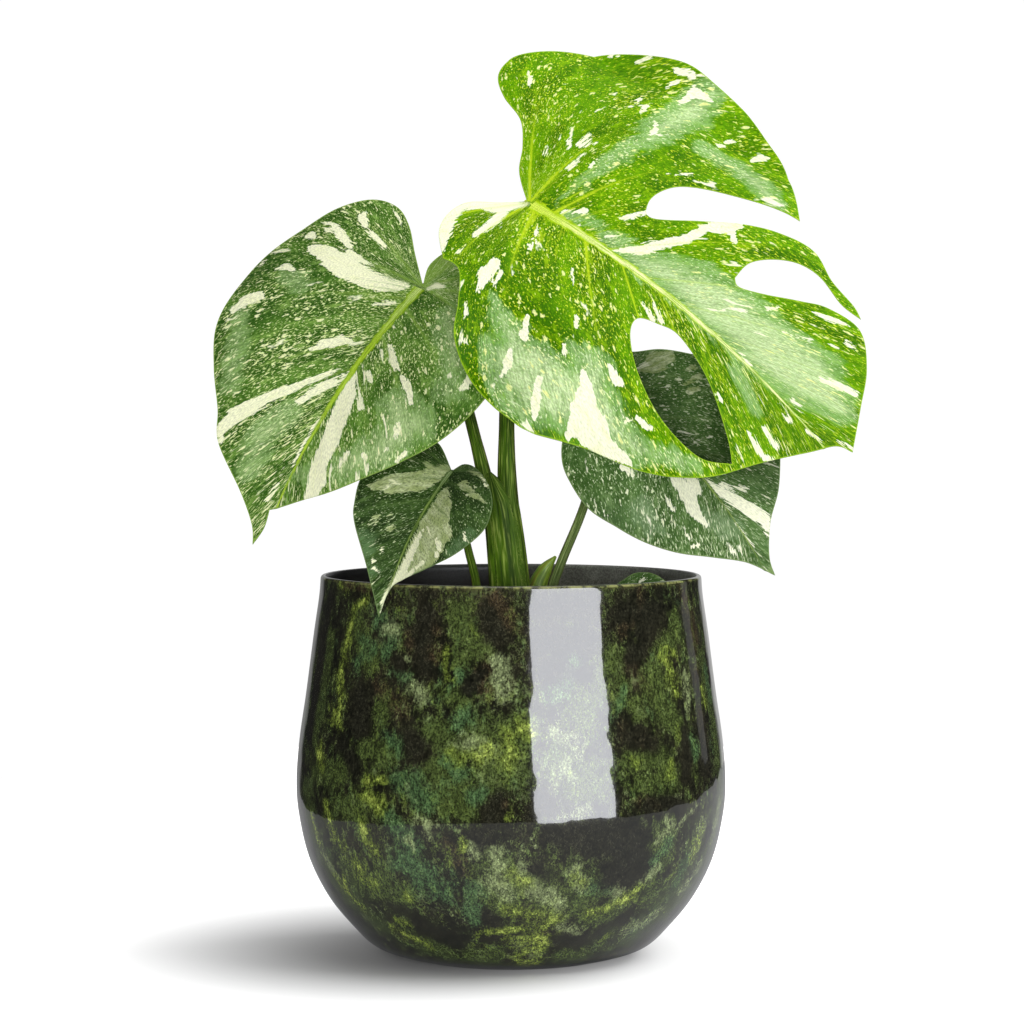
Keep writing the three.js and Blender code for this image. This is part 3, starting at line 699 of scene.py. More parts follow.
def blade_net(leaf):
    """Points and triangles over the blade's outline: even inside, with close rows along the midrib."""
    rim = outline_of(leaf["rim"], RIM_STEP)
    holes = [outline_of([hole], RIM_STEP) for hole in leaf["holes"]]
    outlines = (rim, *holes)
    mesh = leaf["mesh"]
    low = rim.min(axis=0)
    high = rim.max(axis=0)
    rows = []
    row_step = mesh * math.sqrt(3) / 2
    for row, y in enumerate(np.arange(low[1], high[1], row_step)):
        x = np.arange(low[0] + (row % 2) * mesh / 2, high[0], mesh)
        rows.append(np.column_stack([x, np.full(len(x), y)]))
    grid = np.concatenate(rows)
    rib_rows = np.array(RIB_ROWS) * leaf["rib"]
    off = np.abs(rib_offset(leaf, grid[:, 0], grid[:, 1]))
    grid = grid[(off > rib_rows[-1] + RIB_GAP * mesh) | (grid[:, 0] < 0)]
    ribs = []
    for a in np.arange(0, leaf["length"], RIB_STEP * mesh):
        share = a / leaf["length"]
        for row in rib_rows:
            for side in ((1, -1) if row else (1,)):
                ribs.append((a, side * row * (1 - 0.6 * share) + rib_bow(leaf, share)))
    grid = np.concatenate([grid, ribs])
    grid = grid[on_blade(rim, holes, grid) & (edge_distance(outlines, grid) > RIM_GAP * mesh)]
    edges = []
    start = 0
    for outline in outlines:
        count = len(outline)
        edges += [(start + i, start + (i + 1) % count) for i in range(count)]
        start += count
    flat = [Vector((float(x), float(y))) for x, y in np.concatenate([*outlines, grid])]
    found = geometry.delaunay_2d_cdt(flat, edges, [], 0, 1e-4)
    points = np.array([tuple(point) for point in found[0]])
    faces = np.array([face for face in found[2] if len(face) == 3])
    faces = faces[on_blade(rim, holes, points[faces].mean(axis=1))]
    first, second, third = (points[faces[:, i]] for i in range(3))
    side1 = second - first
    side2 = third - first
    turned = side1[:, 0] * side2[:, 1] - side1[:, 1] * side2[:, 0] < 0
    faces[turned] = faces[turned][:, ::-1]
    return points, faces, edge_distance(outlines, points)


def blade_matrix(leaf):
    turn = Quaternion((0, 0, 1), math.radians(leaf["facing"]))
    turn = turn @ Quaternion((1, 0, 0), math.radians(90 - leaf["rise"]))
    turn = turn @ Quaternion((0, 0, 1), math.radians(leaf["turn"]))
    return turn.to_matrix()


def make_blade(name, leaf, finish):
    points, faces, edge = blade_net(leaf)
    a, b = points.T
    across, along, spread = vein_flow(leaf, a, b)
    count, gap = vein_count(leaf, across, along)
    reach = np.abs(along)
    share = np.clip(a / leaf["length"], 0, 1)

    # the blade swells between the side veins, and the midrib stands out, most of all underneath
    settle = np.clip(reach / 12, 0, 1) * np.clip(edge / 14, 0, 1)
    swell = leaf["quilt"] * settle * (1 - np.cos(2 * np.pi * count)) / 2
    rib_width = leaf["rib"] * (1 - 0.75 * share)
    rib = np.exp(-((reach / rib_width) ** 2)) * np.clip(1 + a / 4, 0, 1)
    vein_line = np.abs(count - np.round(count)) * gap * spread
    vein = np.exp(-((vein_line / 1.5) ** 2)) * np.clip(1 - reach / leaf["half_width"], 0, 1)
    half = BLADE / 2 - (BLADE - MARGIN_BLADE) / 2 * np.exp(-((edge / MARGIN_REACH) ** 2))
    base = blade_rise(leaf, a, b) + swell
    above = base + half + 0.16 * leaf["rib_depth"] * rib * (1 - 0.5 * share)
    below = base - half - leaf["rib_depth"] * rib * (1 - 0.7 * share)
    below = below - 0.3 * leaf["rib_depth"] * vein * np.clip(edge / 8, 0, 1)

    count_points = len(points)
    shape = np.concatenate([np.column_stack([a, b, above]), np.column_stack([a, b, below])])
    placed = shape @ np.array(blade_matrix(leaf)).T + np.array(leaf["attach"])
    sides = {}
    for i, j, k in faces.tolist():
        for start, end in ((i, j), (j, k), (k, i)):
            if sides.pop((end, start), None) is None:
                sides[(start, end)] = True
    quads = [(start, count_points + start, count_points + end, end) for start, end in sides]
    under = faces[:, ::-1] + count_points
    piece = make_object(name, placed, faces.tolist() + under.tolist() + quads, smooth_angle=50)
    mesh = piece.data
    twice = (np.concatenate([value, value]) for value in (across, along, count, gap * spread, edge))
    across, along, count, gap, edge = twice
    beneath = np.concatenate([np.zeros(count_points), np.ones(count_points)])
    add_vectors(mesh, "flow", np.column_stack([across, along, edge]))
    add_vectors(mesh, "ribs", np.column_stack([count, gap, beneath]))
    both_a = np.concatenate([a, a])
    both_b = np.concatenate([b, b])
    paint = [painted(leaf[kind], both_a, both_b) for kind in ("cream", "sage", "veil")]
    add_vectors(mesh, "paint", np.column_stack(paint))
    take_finish(piece, finish)
    stand_for(piece, SLOTS[name], name)


# Stalks

STALK_SMOOTH_ANGLE = 60


def loft_stalk(name, stalk, waver):
    """A closed tube along the stalk's curve, ribbed lengthwise, with a strand map: round and along."""
    points = [Vector(point) for point in stalk["points"]]
    ending = Vector((0, 0, 1))
    if stalk["leaf"]:
        leaf = LEAVES[stalk["leaf"]]
        ending = blade_matrix(leaf) @ Vector((0, 0, 1))
        points.append(Vector(leaf["attach"]) - ending * (BLADE / 2 + CLEAR))
    sides = stalk["sides"]
    steps = stalk["steps"]
    last = len(points) - 1
    ring_points = []
    strands = []
    length = 0.0
    before = points[0]
    near = 0.002
    for step in range(steps + 1):
        t = step / steps
        centre = stalk_curve(points, t)
        ahead = stalk_curve(points, min(t + near, 1))
        behind = stalk_curve(points, max(t - near, 0))
        tangent = (ahead - behind).normalized()
        if step == 0:
            tangent = Vector((0, 0, 1))
        elif step == steps and stalk["leaf"]:
            tangent = ending
        length += (centre - before).length
        before = centre
        depth_axis = tangent.cross(Vector((1, 0, 0))).normalized()
        width_axis = depth_axis.cross(tangent)
        place = t * last
        width = np.interp(place, range(last + 1), stalk["width"])
        depth = np.interp(place, range(last + 1), stalk["depth"])
        for side in range(sides):
            angle = 2 * math.pi * side / sides
            swell = waver(stalk, t, angle, centre.z)
            point = centre + width_axis * ((width + swell) * math.cos(angle))
            point = point + depth_axis * ((depth + swell) * math.sin(angle))
            ring_points.append(point)
            strands.append((math.sin(angle), math.cos(angle), length))
    faces = []
    for step in range(steps):
        for side in range(sides):
            here = step * sides + side
            beside = step * sides + (side + 1) % sides
            faces.append((here, beside, beside + sides, here + sides))
    faces.append(tuple(range(sides - 1, -1, -1)))
    faces.append(tuple(range(steps * sides, (steps + 1) * sides)))
    piece = make_object(name, ring_points, faces, STALK_SMOOTH_ANGLE)
    add_vectors(piece.data, "strand", strands)
    return piece


def stalk_ribs(stalk, t, angle, height):
    """Fine lengthwise ribs, and the slight knuckle below a leaf."""
    ribs = 0.16 * math.cos(stalk["ribs"] * angle + 3 * t) + 0.1 * math.cos(23 * angle - 2 * t)
    knuckle = 0.5 * math.exp(-(((t - 0.93) / 0.035) ** 2)) if stalk["leaf"] else 0.0
    return ribs * min(stalk["width"][0] / 7, 1) + knuckle


def shoot_roll(stalk, t, angle, height):
    """The rolled blade's free edge winds up the shoot as a small step."""
    seam = (angle - 0.6 - 1.3 * t) % (2 * math.pi) / (2 * math.pi)
    fade = min(1.0, max(0.0, (height - SOIL_TOP) / 8)) * min(1.0, (1 - t) / 0.12)
    return fade * (0.55 * (1 - seam) - 0.25)


def read_vectors(mesh, name):
    values = np.empty(len(mesh.vertices) * 3, dtype=np.float32)
    mesh.attributes[name].data.foreach_get("vector", values)
    return values.reshape(-1, 3)


def unite(first, second):
    """Joins two closed stalks into one skin, left in the first, and carries their strand maps over."""
    tree = kdtree.KDTree(len(first.data.vertices) + len(second.data.vertices))
    strands = []
    for piece in (first, second):
        for vertex, strand in zip(piece.data.vertices, read_vectors(piece.data, "strand")):
            tree.insert(vertex.co, len(strands))
            strands.append(strand)
    tree.balance()
    union = first.modifiers.new("union", "BOOLEAN")
    union.operation = "UNION"
    union.solver = "EXACT"
    union.object = second
    joined = take_modified_mesh(first)
    for old in [layer for layer in joined.attributes if layer.name == "strand"]:
        joined.attributes.remove(old)
    add_vectors(joined, "strand", [strands[tree.find(vertex.co)[1]] for vertex in joined.vertices])
    soften(joined, STALK_SMOOTH_ANGLE)
    bpy.data.objects.remove(second)
    return first


# Pot and soil

def pot_outside(rings):
    curve = even_curve(POT_SIDE, spans=24)
    return spaced(curve, np.linalg.norm(np.diff(curve, axis=0), axis=1).sum() / rings)


def pot_inside():
    outside = pot_outside(POT_RINGS)
    tangent = np.gradient(outside, axis=0)
    tangent /= np.linalg.norm(tangent, axis=1)[:, None]
    wall = outside + POT_WALL * np.column_stack([-tangent[:, 1], tangent[:, 0]])
    return wall[wall[:, 1] > POT_FLOOR + 2][::-1]


def lathe(name, profile, segments, smooth_angle):
    """Turns a profile of (radius, height) round Z. Its first and last points lie on the axis."""
    rings = profile[1:-1]
    points = [(0, 0, profile[0][1])]
    for radius, height in rings:
        for segment in range(segments):
            angle = 2 * math.pi * segment / segments
            points.append((radius * math.sin(angle), -radius * math.cos(angle), height))
    points.append((0, 0, profile[-1][1]))
    faces = []
    last = len(points) - 1
    top = 1 + (len(rings) - 1) * segments
    for segment in range(segments):
        beside = (segment + 1) % segments
        faces.append((0, 1 + beside, 1 + segment))
        faces.append((last, top + segment, top + beside))
        for ring in range(len(rings) - 1):
            here = 1 + ring * segments
            above = here + segments
            faces.append((here + segment, here + beside, above + beside, above + segment))
    return make_object(name, points, faces, smooth_angle)


# Marks in the glaze, as strokes of (degrees round to the right, height, half-width). A degree is
# about DEGREE_ROUND millimetres round the wall.
DEGREE_ROUND = 2.27
GLAZE_MARKS = {
    "yellow": [
        [(-61, 247, 3), (-57, 243, 3)], [(-47, 239, 3), (-50, 236, 3)],
        [(-52, 234, 3), (-53, 222, 4), (-54, 205, 5), (-55, 192, 6), (-54, 176, 4), (-54, 161, 5)],
        [(-62, 141, 6), (-60, 132, 5)], [(-56, 166, 4), (-57, 160, 4)],
        [(-57, 108, 4), (-56, 98, 5), (-54, 88, 5), (-51, 83, 4)], [(-40, 127, 4), (-35, 128, 4)],
        [(-41, 118, 5), (-36, 112, 7)], [(-42, 98, 3), (-41, 88, 4), (-38, 80, 4)],
        [(-46, 72, 6), (-43, 63, 8)], [(-55, 60, 4), (-55, 50, 4)], [(-38, 36, 3), (-33, 34, 3)],
        [(-31, 55, 4), (-30, 52, 4)], [(-24, 242, 4), (-22, 239, 4)], [(-18, 210, 4), (-17, 193, 4)],
        [(-15, 145, 7), (-9, 143, 7)], [(-5, 150, 8), (-1, 157, 8), (0, 148, 6), (-1, 140, 6)],
        [(2, 167, 5), (5, 160, 7)], [(-12, 92, 4), (-13, 86, 3)], [(-1, 106, 3), (0, 112, 3)],
        [(0, 71, 6), (4, 66, 6)], [(-1, 48, 5), (4, 45, 6), (9, 45, 8), (13, 41, 7)],
        [(-10, 31, 3), (-2, 34, 4), (3, 33, 6)], [(2, 28, 9), (6, 20, 10), (4, 11, 9)],
        [(10, 35, 7), (8, 26, 7)], [(0, 28, 8), (9, 22, 9), (15, 28, 6)], [(3, 10, 6), (11, 9, 6)],
        [(23, 43, 4), (30, 47, 5), (36, 53, 5), (40, 60, 4)],
        [(17, 70, 4), (20, 64, 5)], [(34, 27, 4), (33, 23, 4)], [(38, 214, 3), (40, 212, 3)],
        [(46, 204, 3), (50, 197, 5), (50, 187, 6), (52, 178, 3)], [(52, 159, 4), (51, 152, 3)],
        [(66, 180, 3), (68, 169, 3)], [(47, 137, 4), (46, 129, 5)], [(33, 141, 4), (35, 138, 4)],
        [(62, 92, 5), (61, 80, 7), (60, 73, 5)], [(50, 208, 3), (53, 203, 3)],
        [(-66, 98, 4), (-64, 82, 5)], [(-59, 60, 5), (-52, 42, 5)], [(-42, 30, 4), (-30, 20, 4)],
    ],
    "green": [
        [(-50, 228, 7), (-47, 214, 9), (-44, 202, 9)], [(-63, 214, 5), (-64, 186, 6), (-66, 150, 7)],
        [(-38, 172, 5), (-36, 166, 6)], [(-42, 148, 7), (-34, 142, 8)], [(-60, 126, 8), (-50, 130, 9)],
        [(-50, 110, 8), (-44, 106, 9)], [(-50, 64, 12), (-40, 60, 14)], [(-36, 52, 10), (-30, 56, 8)],
        [(-58, 44, 5), (-52, 50, 5)], [(-16, 232, 7), (-13, 220, 9), (-10, 210, 8), (-15, 204, 6)],
        [(-18, 184, 6), (-14, 180, 6)], [(-20, 160, 8), (-16, 150, 12), (-6, 152, 14), (3, 160, 12)],
        [(-20, 138, 12), (-12, 130, 12), (0, 134, 12)], [(-18, 118, 8), (-12, 112, 8)],
        [(-4, 78, 10), (-2, 66, 13), (-3, 52, 12)], [(8, 66, 10), (10, 54, 12), (20, 52, 9)],
        [(16, 74, 7), (24, 58, 8)], [(24, 38, 9), (32, 44, 8)], [(34, 30, 7), (33, 22, 6)],
        [(-16, 12, 6), (-6, 14, 8)], [(55, 226, 6), (54, 214, 7), (47, 207, 6)],
        [(44, 192, 9), (43, 180, 9), (47, 170, 9), (50, 160, 8)], [(32, 188, 6), (31, 178, 6)],
        [(35, 176, 5), (36, 168, 5)], [(33, 140, 8), (43, 140, 8), (46, 128, 9), (36, 124, 9)],
        [(46, 96, 6), (42, 84, 7), (45, 74, 8)], [(60, 88, 9), (59, 74, 9)],
        [(56, 60, 8), (54, 44, 8), (46, 30, 7)], [(28, 206, 9), (20, 172, 10)],
        [(14, 140, 14), (22, 126, 14)], [(70, 200, 6), (74, 150, 6), (74, 100, 7), (68, 50, 7)],
        [(-76, 200, 5), (-78, 140, 5)], [(-70, 116, 8), (-66, 86, 9), (-60, 58, 9), (-48, 32, 8)],
        [(-34, 20, 7), (-22, 14, 6)], [(80, 130, 7), (78, 96, 8), (72, 64, 9), (60, 40, 8), (44, 22, 7)],
        [(30, 12, 6), (18, 14, 6)], [(42, 60, 9), (48, 46, 9)],
    ],
    "teal": [
        [(-47, 214, 5), (-42, 208, 6), (-47, 201, 6)], [(-41, 226, 7), (-36, 218, 7), (-37, 208, 7)],
        [(-34, 195, 5), (-30, 193, 4)], [(-33, 155, 6), (-30, 147, 7)], [(-14, 195, 5), (-16, 188, 4)],
        [(-12, 172, 6), (-14, 162, 6)], [(-17, 141, 5), (-13, 135, 6)],
        [(-33, 106, 6), (-29, 95, 7), (-26, 86, 7)], [(-30, 76, 9), (-24, 68, 12), (-20, 60, 12)],
        [(-10, 62, 6), (-12, 50, 8), (-11, 40, 7)], [(-10, 120, 6), (-7, 122, 5)],
        [(-28, 128, 10), (-22, 118, 10)], [(32, 184, 4), (31, 176, 4)], [(56, 150, 5), (58, 140, 5)],
        [(46, 86, 5), (42, 74, 6)], [(56, 72, 6), (55, 56, 6)], [(50, 34, 5), (44, 28, 5)],
        [(72, 190, 5), (74, 170, 5)], [(28, 58, 6), (22, 62, 6)], [(18, 200, 8), (12, 184, 8)],
    ],
    "pale": [
        [(-38, 222, 5), (-34, 222, 5)], [(-26, 188, 6), (-25, 182, 6)], [(-30, 205, 3), (-29, 202, 2)],
        [(-3, 204, 6), (-3, 192, 6), (-2, 182, 6)], [(-12, 154, 7), (-6, 150, 7)],
        [(-24, 104, 4), (-20, 101, 4)], [(-28, 92, 4), (-26, 86, 3)], [(-22, 97, 4), (-21, 94, 3)],
        [(-4, 86, 6), (-3, 76, 8), (-4, 66, 8), (-2, 56, 8)], [(3, 70, 9), (7, 62, 9), (9, 54, 7)],
        [(4, 98, 1), (7, 86, 1.2), (8, 80, 1)], [(17, 72, 6), (20, 64, 7)], [(11, 60, 6), (14, 50, 6)],
        [(44, 107, 3), (46, 96, 5), (42, 87, 4)], [(50, 98, 2), (57, 107, 2)],
        [(44, 70, 4), (40, 63, 5)], [(48, 116, 2), (50, 114, 2)], [(62, 90, 7), (60, 76, 7)],
        [(57, 192, 4), (58, 180, 5), (57, 170, 4)], [(12, 160, 5), (18, 150, 6), (13, 132, 6)],
        [(20, 110, 7), (14, 108, 7)], [(-10, 94, 4), (-9, 84, 4)], [(22, 30, 5), (16, 34, 5)],
        [(74, 104, 6), (72, 84, 6)], [(66, 66, 6), (60, 50, 6)], [(52, 36, 5), (42, 28, 6)],
        [(2, 22, 8), (8, 15, 7)],
        [(-63, 74, 4), (-58, 62, 4)], [(30, 60, 6), (34, 48, 6)],
    ],
    "dark": [
        [(-67, 240, 5), (-70, 200, 6), (-70, 150, 6)],
        [(-24, 240, 7), (-26, 214, 8), (-24, 198, 6)], [(-33, 204, 4), (-32, 198, 4)],
        [(-27, 156, 7), (-25, 148, 11)], [(-45, 180, 9), (-44, 160, 9)], [(-50, 146, 6), (-46, 134, 6)],
        [(8, 238, 10), (22, 238, 11)], [(9, 218, 10), (23, 214, 10)], [(11, 197, 7), (22, 195, 7)],
        [(-6, 234, 8), (-4, 222, 8)], [(-12, 186, 5), (-8, 196, 5)], [(-3, 122, 5), (-5, 106, 6)],
        [(-9, 96, 5), (-7, 92, 5)], [(-30, 34, 7), (-20, 26, 8)], [(-38, 47, 5), (-33, 44, 4)],
        [(-10, 26, 1.2), (-3, 29, 1.3), (4, 31, 0.9)], [(-4, 38, 5), (-7, 44, 5)],
        [(7, 74, 6), (10, 68, 5)],
        [(12, 96, 8), (22, 96, 14), (32, 90, 16), (33, 74, 15), (27, 64, 8)],
        [(37, 38, 6), (30, 29, 6)], [(15, 27, 5), (24, 23, 6)], [(8, 118, 6), (5, 106, 5)],
        [(53, 156, 5), (54, 142, 6), (52, 128, 5)], [(34, 156, 9), (40, 148, 8)],
        [(38, 112, 8), (50, 110, 6)],
        [(34, 232, 12), (46, 232, 10), (36, 204, 8)], [(64, 160, 5), (64, 130, 6)],
    ],
    "brown": [
        [(61, 244, 6), (66, 226, 7), (66, 204, 7), (64, 186, 6)], [(64, 165, 5), (64, 130, 5)],
        [(-5, 240, 10), (0, 226, 9)], [(-26, 232, 7), (-22, 222, 7)], [(-30, 214, 8), (-22, 206, 8)],
        [(33, 156, 8), (40, 148, 8)], [(36, 116, 6), (42, 110, 5)], [(-3, 132, 4), (-2, 116, 5)],
        [(-17, 116, 3), (-15, 114, 3)], [(-40, 186, 8), (-30, 172, 8)], [(-8, 208, 6), (-6, 184, 8)],
        [(40, 236, 9), (34, 222, 9)], [(-60, 246, 4), (-44, 246, 3)], [(36, 200, 9), (40, 184, 8)],
        [(-12, 74, 7), (-16, 90, 8)], [(6, 22, 6), (10, 30, 6)],
    ],
}
HIDDEN_MARKS = 150


def hidden_marks():
    """More marks of the same kinds round the back of the pot."""
    chance = random.Random(12)
    kinds = list(GLAZE_MARKS)
    marks = {kind: [] for kind in kinds}
    for _ in range(HIDDEN_MARKS):
        turn = chance.uniform(84, 276)
        height = chance.uniform(8, 244)
        size = chance.uniform(4, 12)
        slant = chance.uniform(-7, 7)
        drop = chance.uniform(4, 26)
        kind = chance.choice(kinds)
        marks[kind].append([(turn, height, size), (turn + slant, height - drop, size * 0.8)])
    return marks


def mark_cover(strokes, turn, height):
    """How strongly a list of strokes covers each place on the pot, fading out round them."""
    cover = np.zeros(len(turn))
    for stroke in strokes:
        for (turn0, height0, size0), (turn1, height1, size1) in zip(stroke, stroke[1:]):
            away = (turn - turn0 + 180) % 360 - 180
            x, y = away * DEGREE_ROUND, height - height0
            dx, dy = (turn1 - turn0) * DEGREE_ROUND, height1 - height0
            along = np.clip((x * dx + y * dy) / (dx * dx + dy * dy), 0, 1)
            gap = np.hypot(x - dx * along, y - dy * along) / (size0 + along * (size1 - size0))
            cover = np.maximum(cover, np.exp(-gap**2))
    return cover


def make_pot():
    outside = pot_outside(POT_RINGS)
    lip_base = POT_HEIGHT - LIP_RISE
    lip_middle = LIP_RADIUS - LIP_ROUND
    lip = []
    for angle in np.radians(np.arange(20, 180, 20)):
        lip.append((lip_middle + LIP_ROUND * math.cos(angle), lip_base + LIP_RISE * math.sin(angle)))
    wall = pot_inside()
    wall = wall[wall[:, 1] < lip_base]
    floor_radius = wall[-1][0]
    profile = [(0, 0), *outside[:-1], (LIP_RADIUS, lip_base), *lip, *wall]
    profile += [(floor_radius - 3, POT_FLOOR + 1.2), (floor_radius - FLOOR_ROUND, POT_FLOOR)]
    profile.append((0, POT_FLOOR))
    pot = lathe("glazed_pot", profile, POT_SEGMENTS, smooth_angle=50)
    mesh = pot.data
    points = np.empty(len(mesh.vertices) * 3)
    mesh.vertices.foreach_get("co", points)
    x, y, height = (points.reshape(-1, 3) / MM).T
    turn = np.degrees(np.arctan2(x, -y))
    hidden = hidden_marks()
    for name, kinds in (("greens", ("yellow", "green", "teal")), ("shades", ("pale", "dark", "brown"))):
        covers = [mark_cover(GLAZE_MARKS[kind] + hidden[kind], turn, height) for kind in kinds]
        add_vectors(mesh, name, np.column_stack(covers))
    crest = np.exp(-(((height - POT_HEIGHT + CREST_DROP) / CREST_WIDTH) ** 2))
    crest = crest * (np.hypot(x, y) > LIP_RADIUS - CREST_REACH)
    # the glaze turns darker towards the foot
    foot = np.clip((FOOT_DARK_TOP - height) / FOOT_DARK_FADE, 0, 1)
    add_vectors(mesh, "ends", np.column_stack([crest, foot, np.zeros(len(foot))]))
    take_finish(pot, glaze_finish(), pot_inner_finish())
    inner_ring = len(outside) + len(lip) // 2 + 1
    first_inner = 1 + inner_ring * POT_SEGMENTS
    for polygon in mesh.polygons:
        if min(polygon.vertices) >= first_inner:
            polygon.material_index = 1
    stand_for(pot, "pot_glaze", "pot")


def soil_height(x, y):
    """The uneven top of the soil, in millimetres."""
    radius = np.hypot(x, y)
    crown = SOIL_CROWN * np.interp(radius, (0, 45, 128), (1, 0.6, 0))
    lumps = 0.9 * np.sin(x / 9 + 1.7 * np.sin(y / 13)) + 0.7 * np.sin(y / 7.5 + 1.3 * np.sin(x / 11))
    return SOIL_TOP + crown + lumps * np.interp(radius, (0, 110, 124), (1, 1, 0.2))


def make_soil():
    """The filled body of soil, with a fine uneven top."""
    inner = pot_inside()
    wall = inner[inner[:, 1] < SOIL_TOP - SOIL_EDGE][::-1]
    side = [(radius - CLEAR, height) for radius, height in wall[::4]]
    floor_radius = side[0][0] - FLOOR_ROUND - 0.4
    top_radius = side[-1][0] - 2
    profile = [(0, POT_FLOOR + CLEAR), (floor_radius, POT_FLOOR + CLEAR), *side]
    profile += [(radius, SOIL_TOP) for radius in np.arange(top_radius, 2, -SOIL_STEP)]
    profile.append((0, SOIL_TOP))
    soil = lathe("potting_soil", profile, SOIL_SEGMENTS, smooth_angle=80)
    for vertex in soil.data.vertices:
        x, y, z = vertex.co / MM
        if z > SOIL_TOP - 0.01:
            vertex.co.z = soil_height(x, y) * MM
    take_finish(soil, soil_finish("soil_dark", (38, 27, 19), (82, 62, 45)))
    stand_for(soil, "potting_soil", "soil")


# Node trees

def set_up_node(tree, kind, values=None, **settings):
    """A node with its settings. Its inputs take plain values, or links from other nodes' outputs."""
    node = tree.nodes.new(kind)
    for key, value in settings.items():
        setattr(node, key, value)
    for key, value in (values or {}).items():
        if isinstance(value, bpy.types.NodeSocket):
            tree.links.new(value, node.inputs[key])
        else:
            node.inputs[key].default_value = value
    return node


def add(tree, kind, values=None, **settings):
    return set_up_node(tree, "ShaderNode" + kind, values, **settings)


def maths(tree, operation, *values, clamp=False):
    return add(tree, "Math", dict(enumerate(values)), operation=operation, use_clamp=clamp).outputs[0]


def chain(tree, operation, values):
    whole = values[0]
    for value in values[1:]:
        whole = maths(tree, operation, whole, value)
    return whole


def total(tree, *values):
    return chain(tree, "ADD", values)


def product(tree, *values):
    return chain(tree, "MULTIPLY", values)


def to_whole(tree, value):
    """How far a value is from the nearest whole number."""
    return maths(tree, "ABSOLUTE", maths(tree, "SUBTRACT", value, maths(tree, "ROUND", value)))


def vector_maths(tree, operation, *values):
    return add(tree, "VectorMath", dict(enumerate(values)), operation=operation).outputs[0]


def distance(tree, place):
    return add(tree, "VectorMath", {0: place}, operation="LENGTH").outputs["Value"]


def scaled(tree, vector, amount):
    return add(tree, "VectorMath", {0: vector, "Scale": amount}, operation="SCALE").outputs[0]


def ease(tree, value, low, high, start=0.0, end=1.0):
    """Eases value from start to end as it goes from low to high, and either way round."""
    node = add(tree, "MapRange", {
        "Value": value, "From Min": low, "From Max": high, "To Min": start, "To Max": end,
    }, interpolation_type="SMOOTHSTEP")
    return node.outputs[0]


def blend(tree, factor, under, over):
    return add(tree, "Mix", {0: factor, 6: under, 7: over}, data_type="RGBA").outputs[2]


def either(tree, factor, under, over):
    return add(tree, "Mix", {0: factor, 2: under, 3: over}, data_type="FLOAT").outputs[0]


def noise(tree, where, scale, detail=2.0, roughness=0.5):
    values = {"Vector": where, "Scale": scale, "Detail": detail, "Roughness": roughness}
    return add(tree, "TexNoise", values).outputs[0]


def split(tree, vector):
    return add(tree, "SeparateXYZ", {0: vector}).outputs


def join(tree, x, y, z=0.0):
    return add(tree, "CombineXYZ", {0: x, 1: y, 2: z}).outputs[0]


def attribute(tree, name):
    return add(tree, "Attribute", attribute_name=name).outputs["Vector"]


def millimetres(tree, stretch=(1, 1, 1)):
    """The place on a piece in millimetres, stretched along each axis."""
    factors = tuple(part / MM for part in stretch)
    return vector_maths(tree, "MULTIPLY", add(tree, "TexCoord").outputs["Object"], factors)


def colour(red, green, blue):
    """A finish's colour from its screen values, 0 to 255, as the linear one that the nodes take."""
    linear = []
    for value in (red, green, blue):
        if value <= 10:
            linear.append(value / 255 / 12.92)
        else:
            linear.append(((value / 255 + 0.055) / 1.055) ** 2.4)
    return (*linear, 1.0)


def new_group(name, inputs, outputs, kind="ShaderNodeTree"):
    tree = bpy.data.node_groups.new(name, kind)
    for in_out, sockets in (("INPUT", inputs), ("OUTPUT", outputs)):
        for label, socket_kind in sockets:
            tree.interface.new_socket(label, in_out=in_out, socket_type="NodeSocket" + socket_kind)
    given = tree.nodes.new("NodeGroupInput").outputs
    result = tree.nodes.new("NodeGroupOutput").inputs
    return tree, given, result


def use_group(tree, group, values):
    return add(tree, "Group", values, node_tree=group).outputs


def flecks_group():
    """Scattered flecks, drawn out along the veins. Share is how many of the cells hold one."""
    measures = ("Across", "Along", "Share", "Size", "Ragged")
    inputs = [("Place", "Vector"), *((label, "Float") for label in measures)]
    tree, given, result = new_group("flecks", inputs, [("Mask", "Float")])
    across, along, other = split(tree, given["Place"])
    across = maths(tree, "DIVIDE", across, given["Across"])
    along = maths(tree, "DIVIDE", along, given["Along"])
    place = join(tree, across, along, other)
    shake = add(tree, "TexNoise", {"Vector": place, "Scale": 2.1, "Detail": 2.0}).outputs["Color"]
    shake = vector_maths(tree, "SUBTRACT", shake, (0.5, 0.5, 0.5))
    place = vector_maths(tree, "ADD", place, scaled(tree, shake, given["Ragged"]))
    cells = add(tree, "TexVoronoi", {"Vector": place, "Scale": 1.0}, voronoi_dimensions="2D")
    chance = add(tree, "SeparateColor", {0: cells.outputs["Color"]}).outputs
    held = maths(tree, "LESS_THAN", chance[0], given["Share"])
    size = ease(tree, chance[1], 0.0, 1.0, 0.35, 1.0)
    limit = product(tree, size, held, given["Size"])
    soft = maths(tree, "SUBTRACT", limit, 0.12)
    tree.links.new(ease(tree, cells.outputs["Distance"], limit, soft), result["Mask"])
    return tree


BLADE_TONES = (
    "Deep Green", "Green", "Light Green", "Veil", "Pale Veil", "Sage", "Cream", "Fleck", "Speck",
    "Midrib", "Midrib Edge", "Vein", "Margin", "Underside",
)
BLADE_MEASURES = (
    "Rib Width", "Leaf Length", "Half Width", "Fleck Share", "Vein Strength", "Fleck Size",
    "Upper Shade",
)


# Across and along size of the flecks, their part of the share, size, raggedness and shift
FLECK_KINDS = ((3.0, 6.4, 0.5, 0.33, 0.9, 17.3), (8.0, 19.0, 0.27, 0.26, 1.2, 41.9))


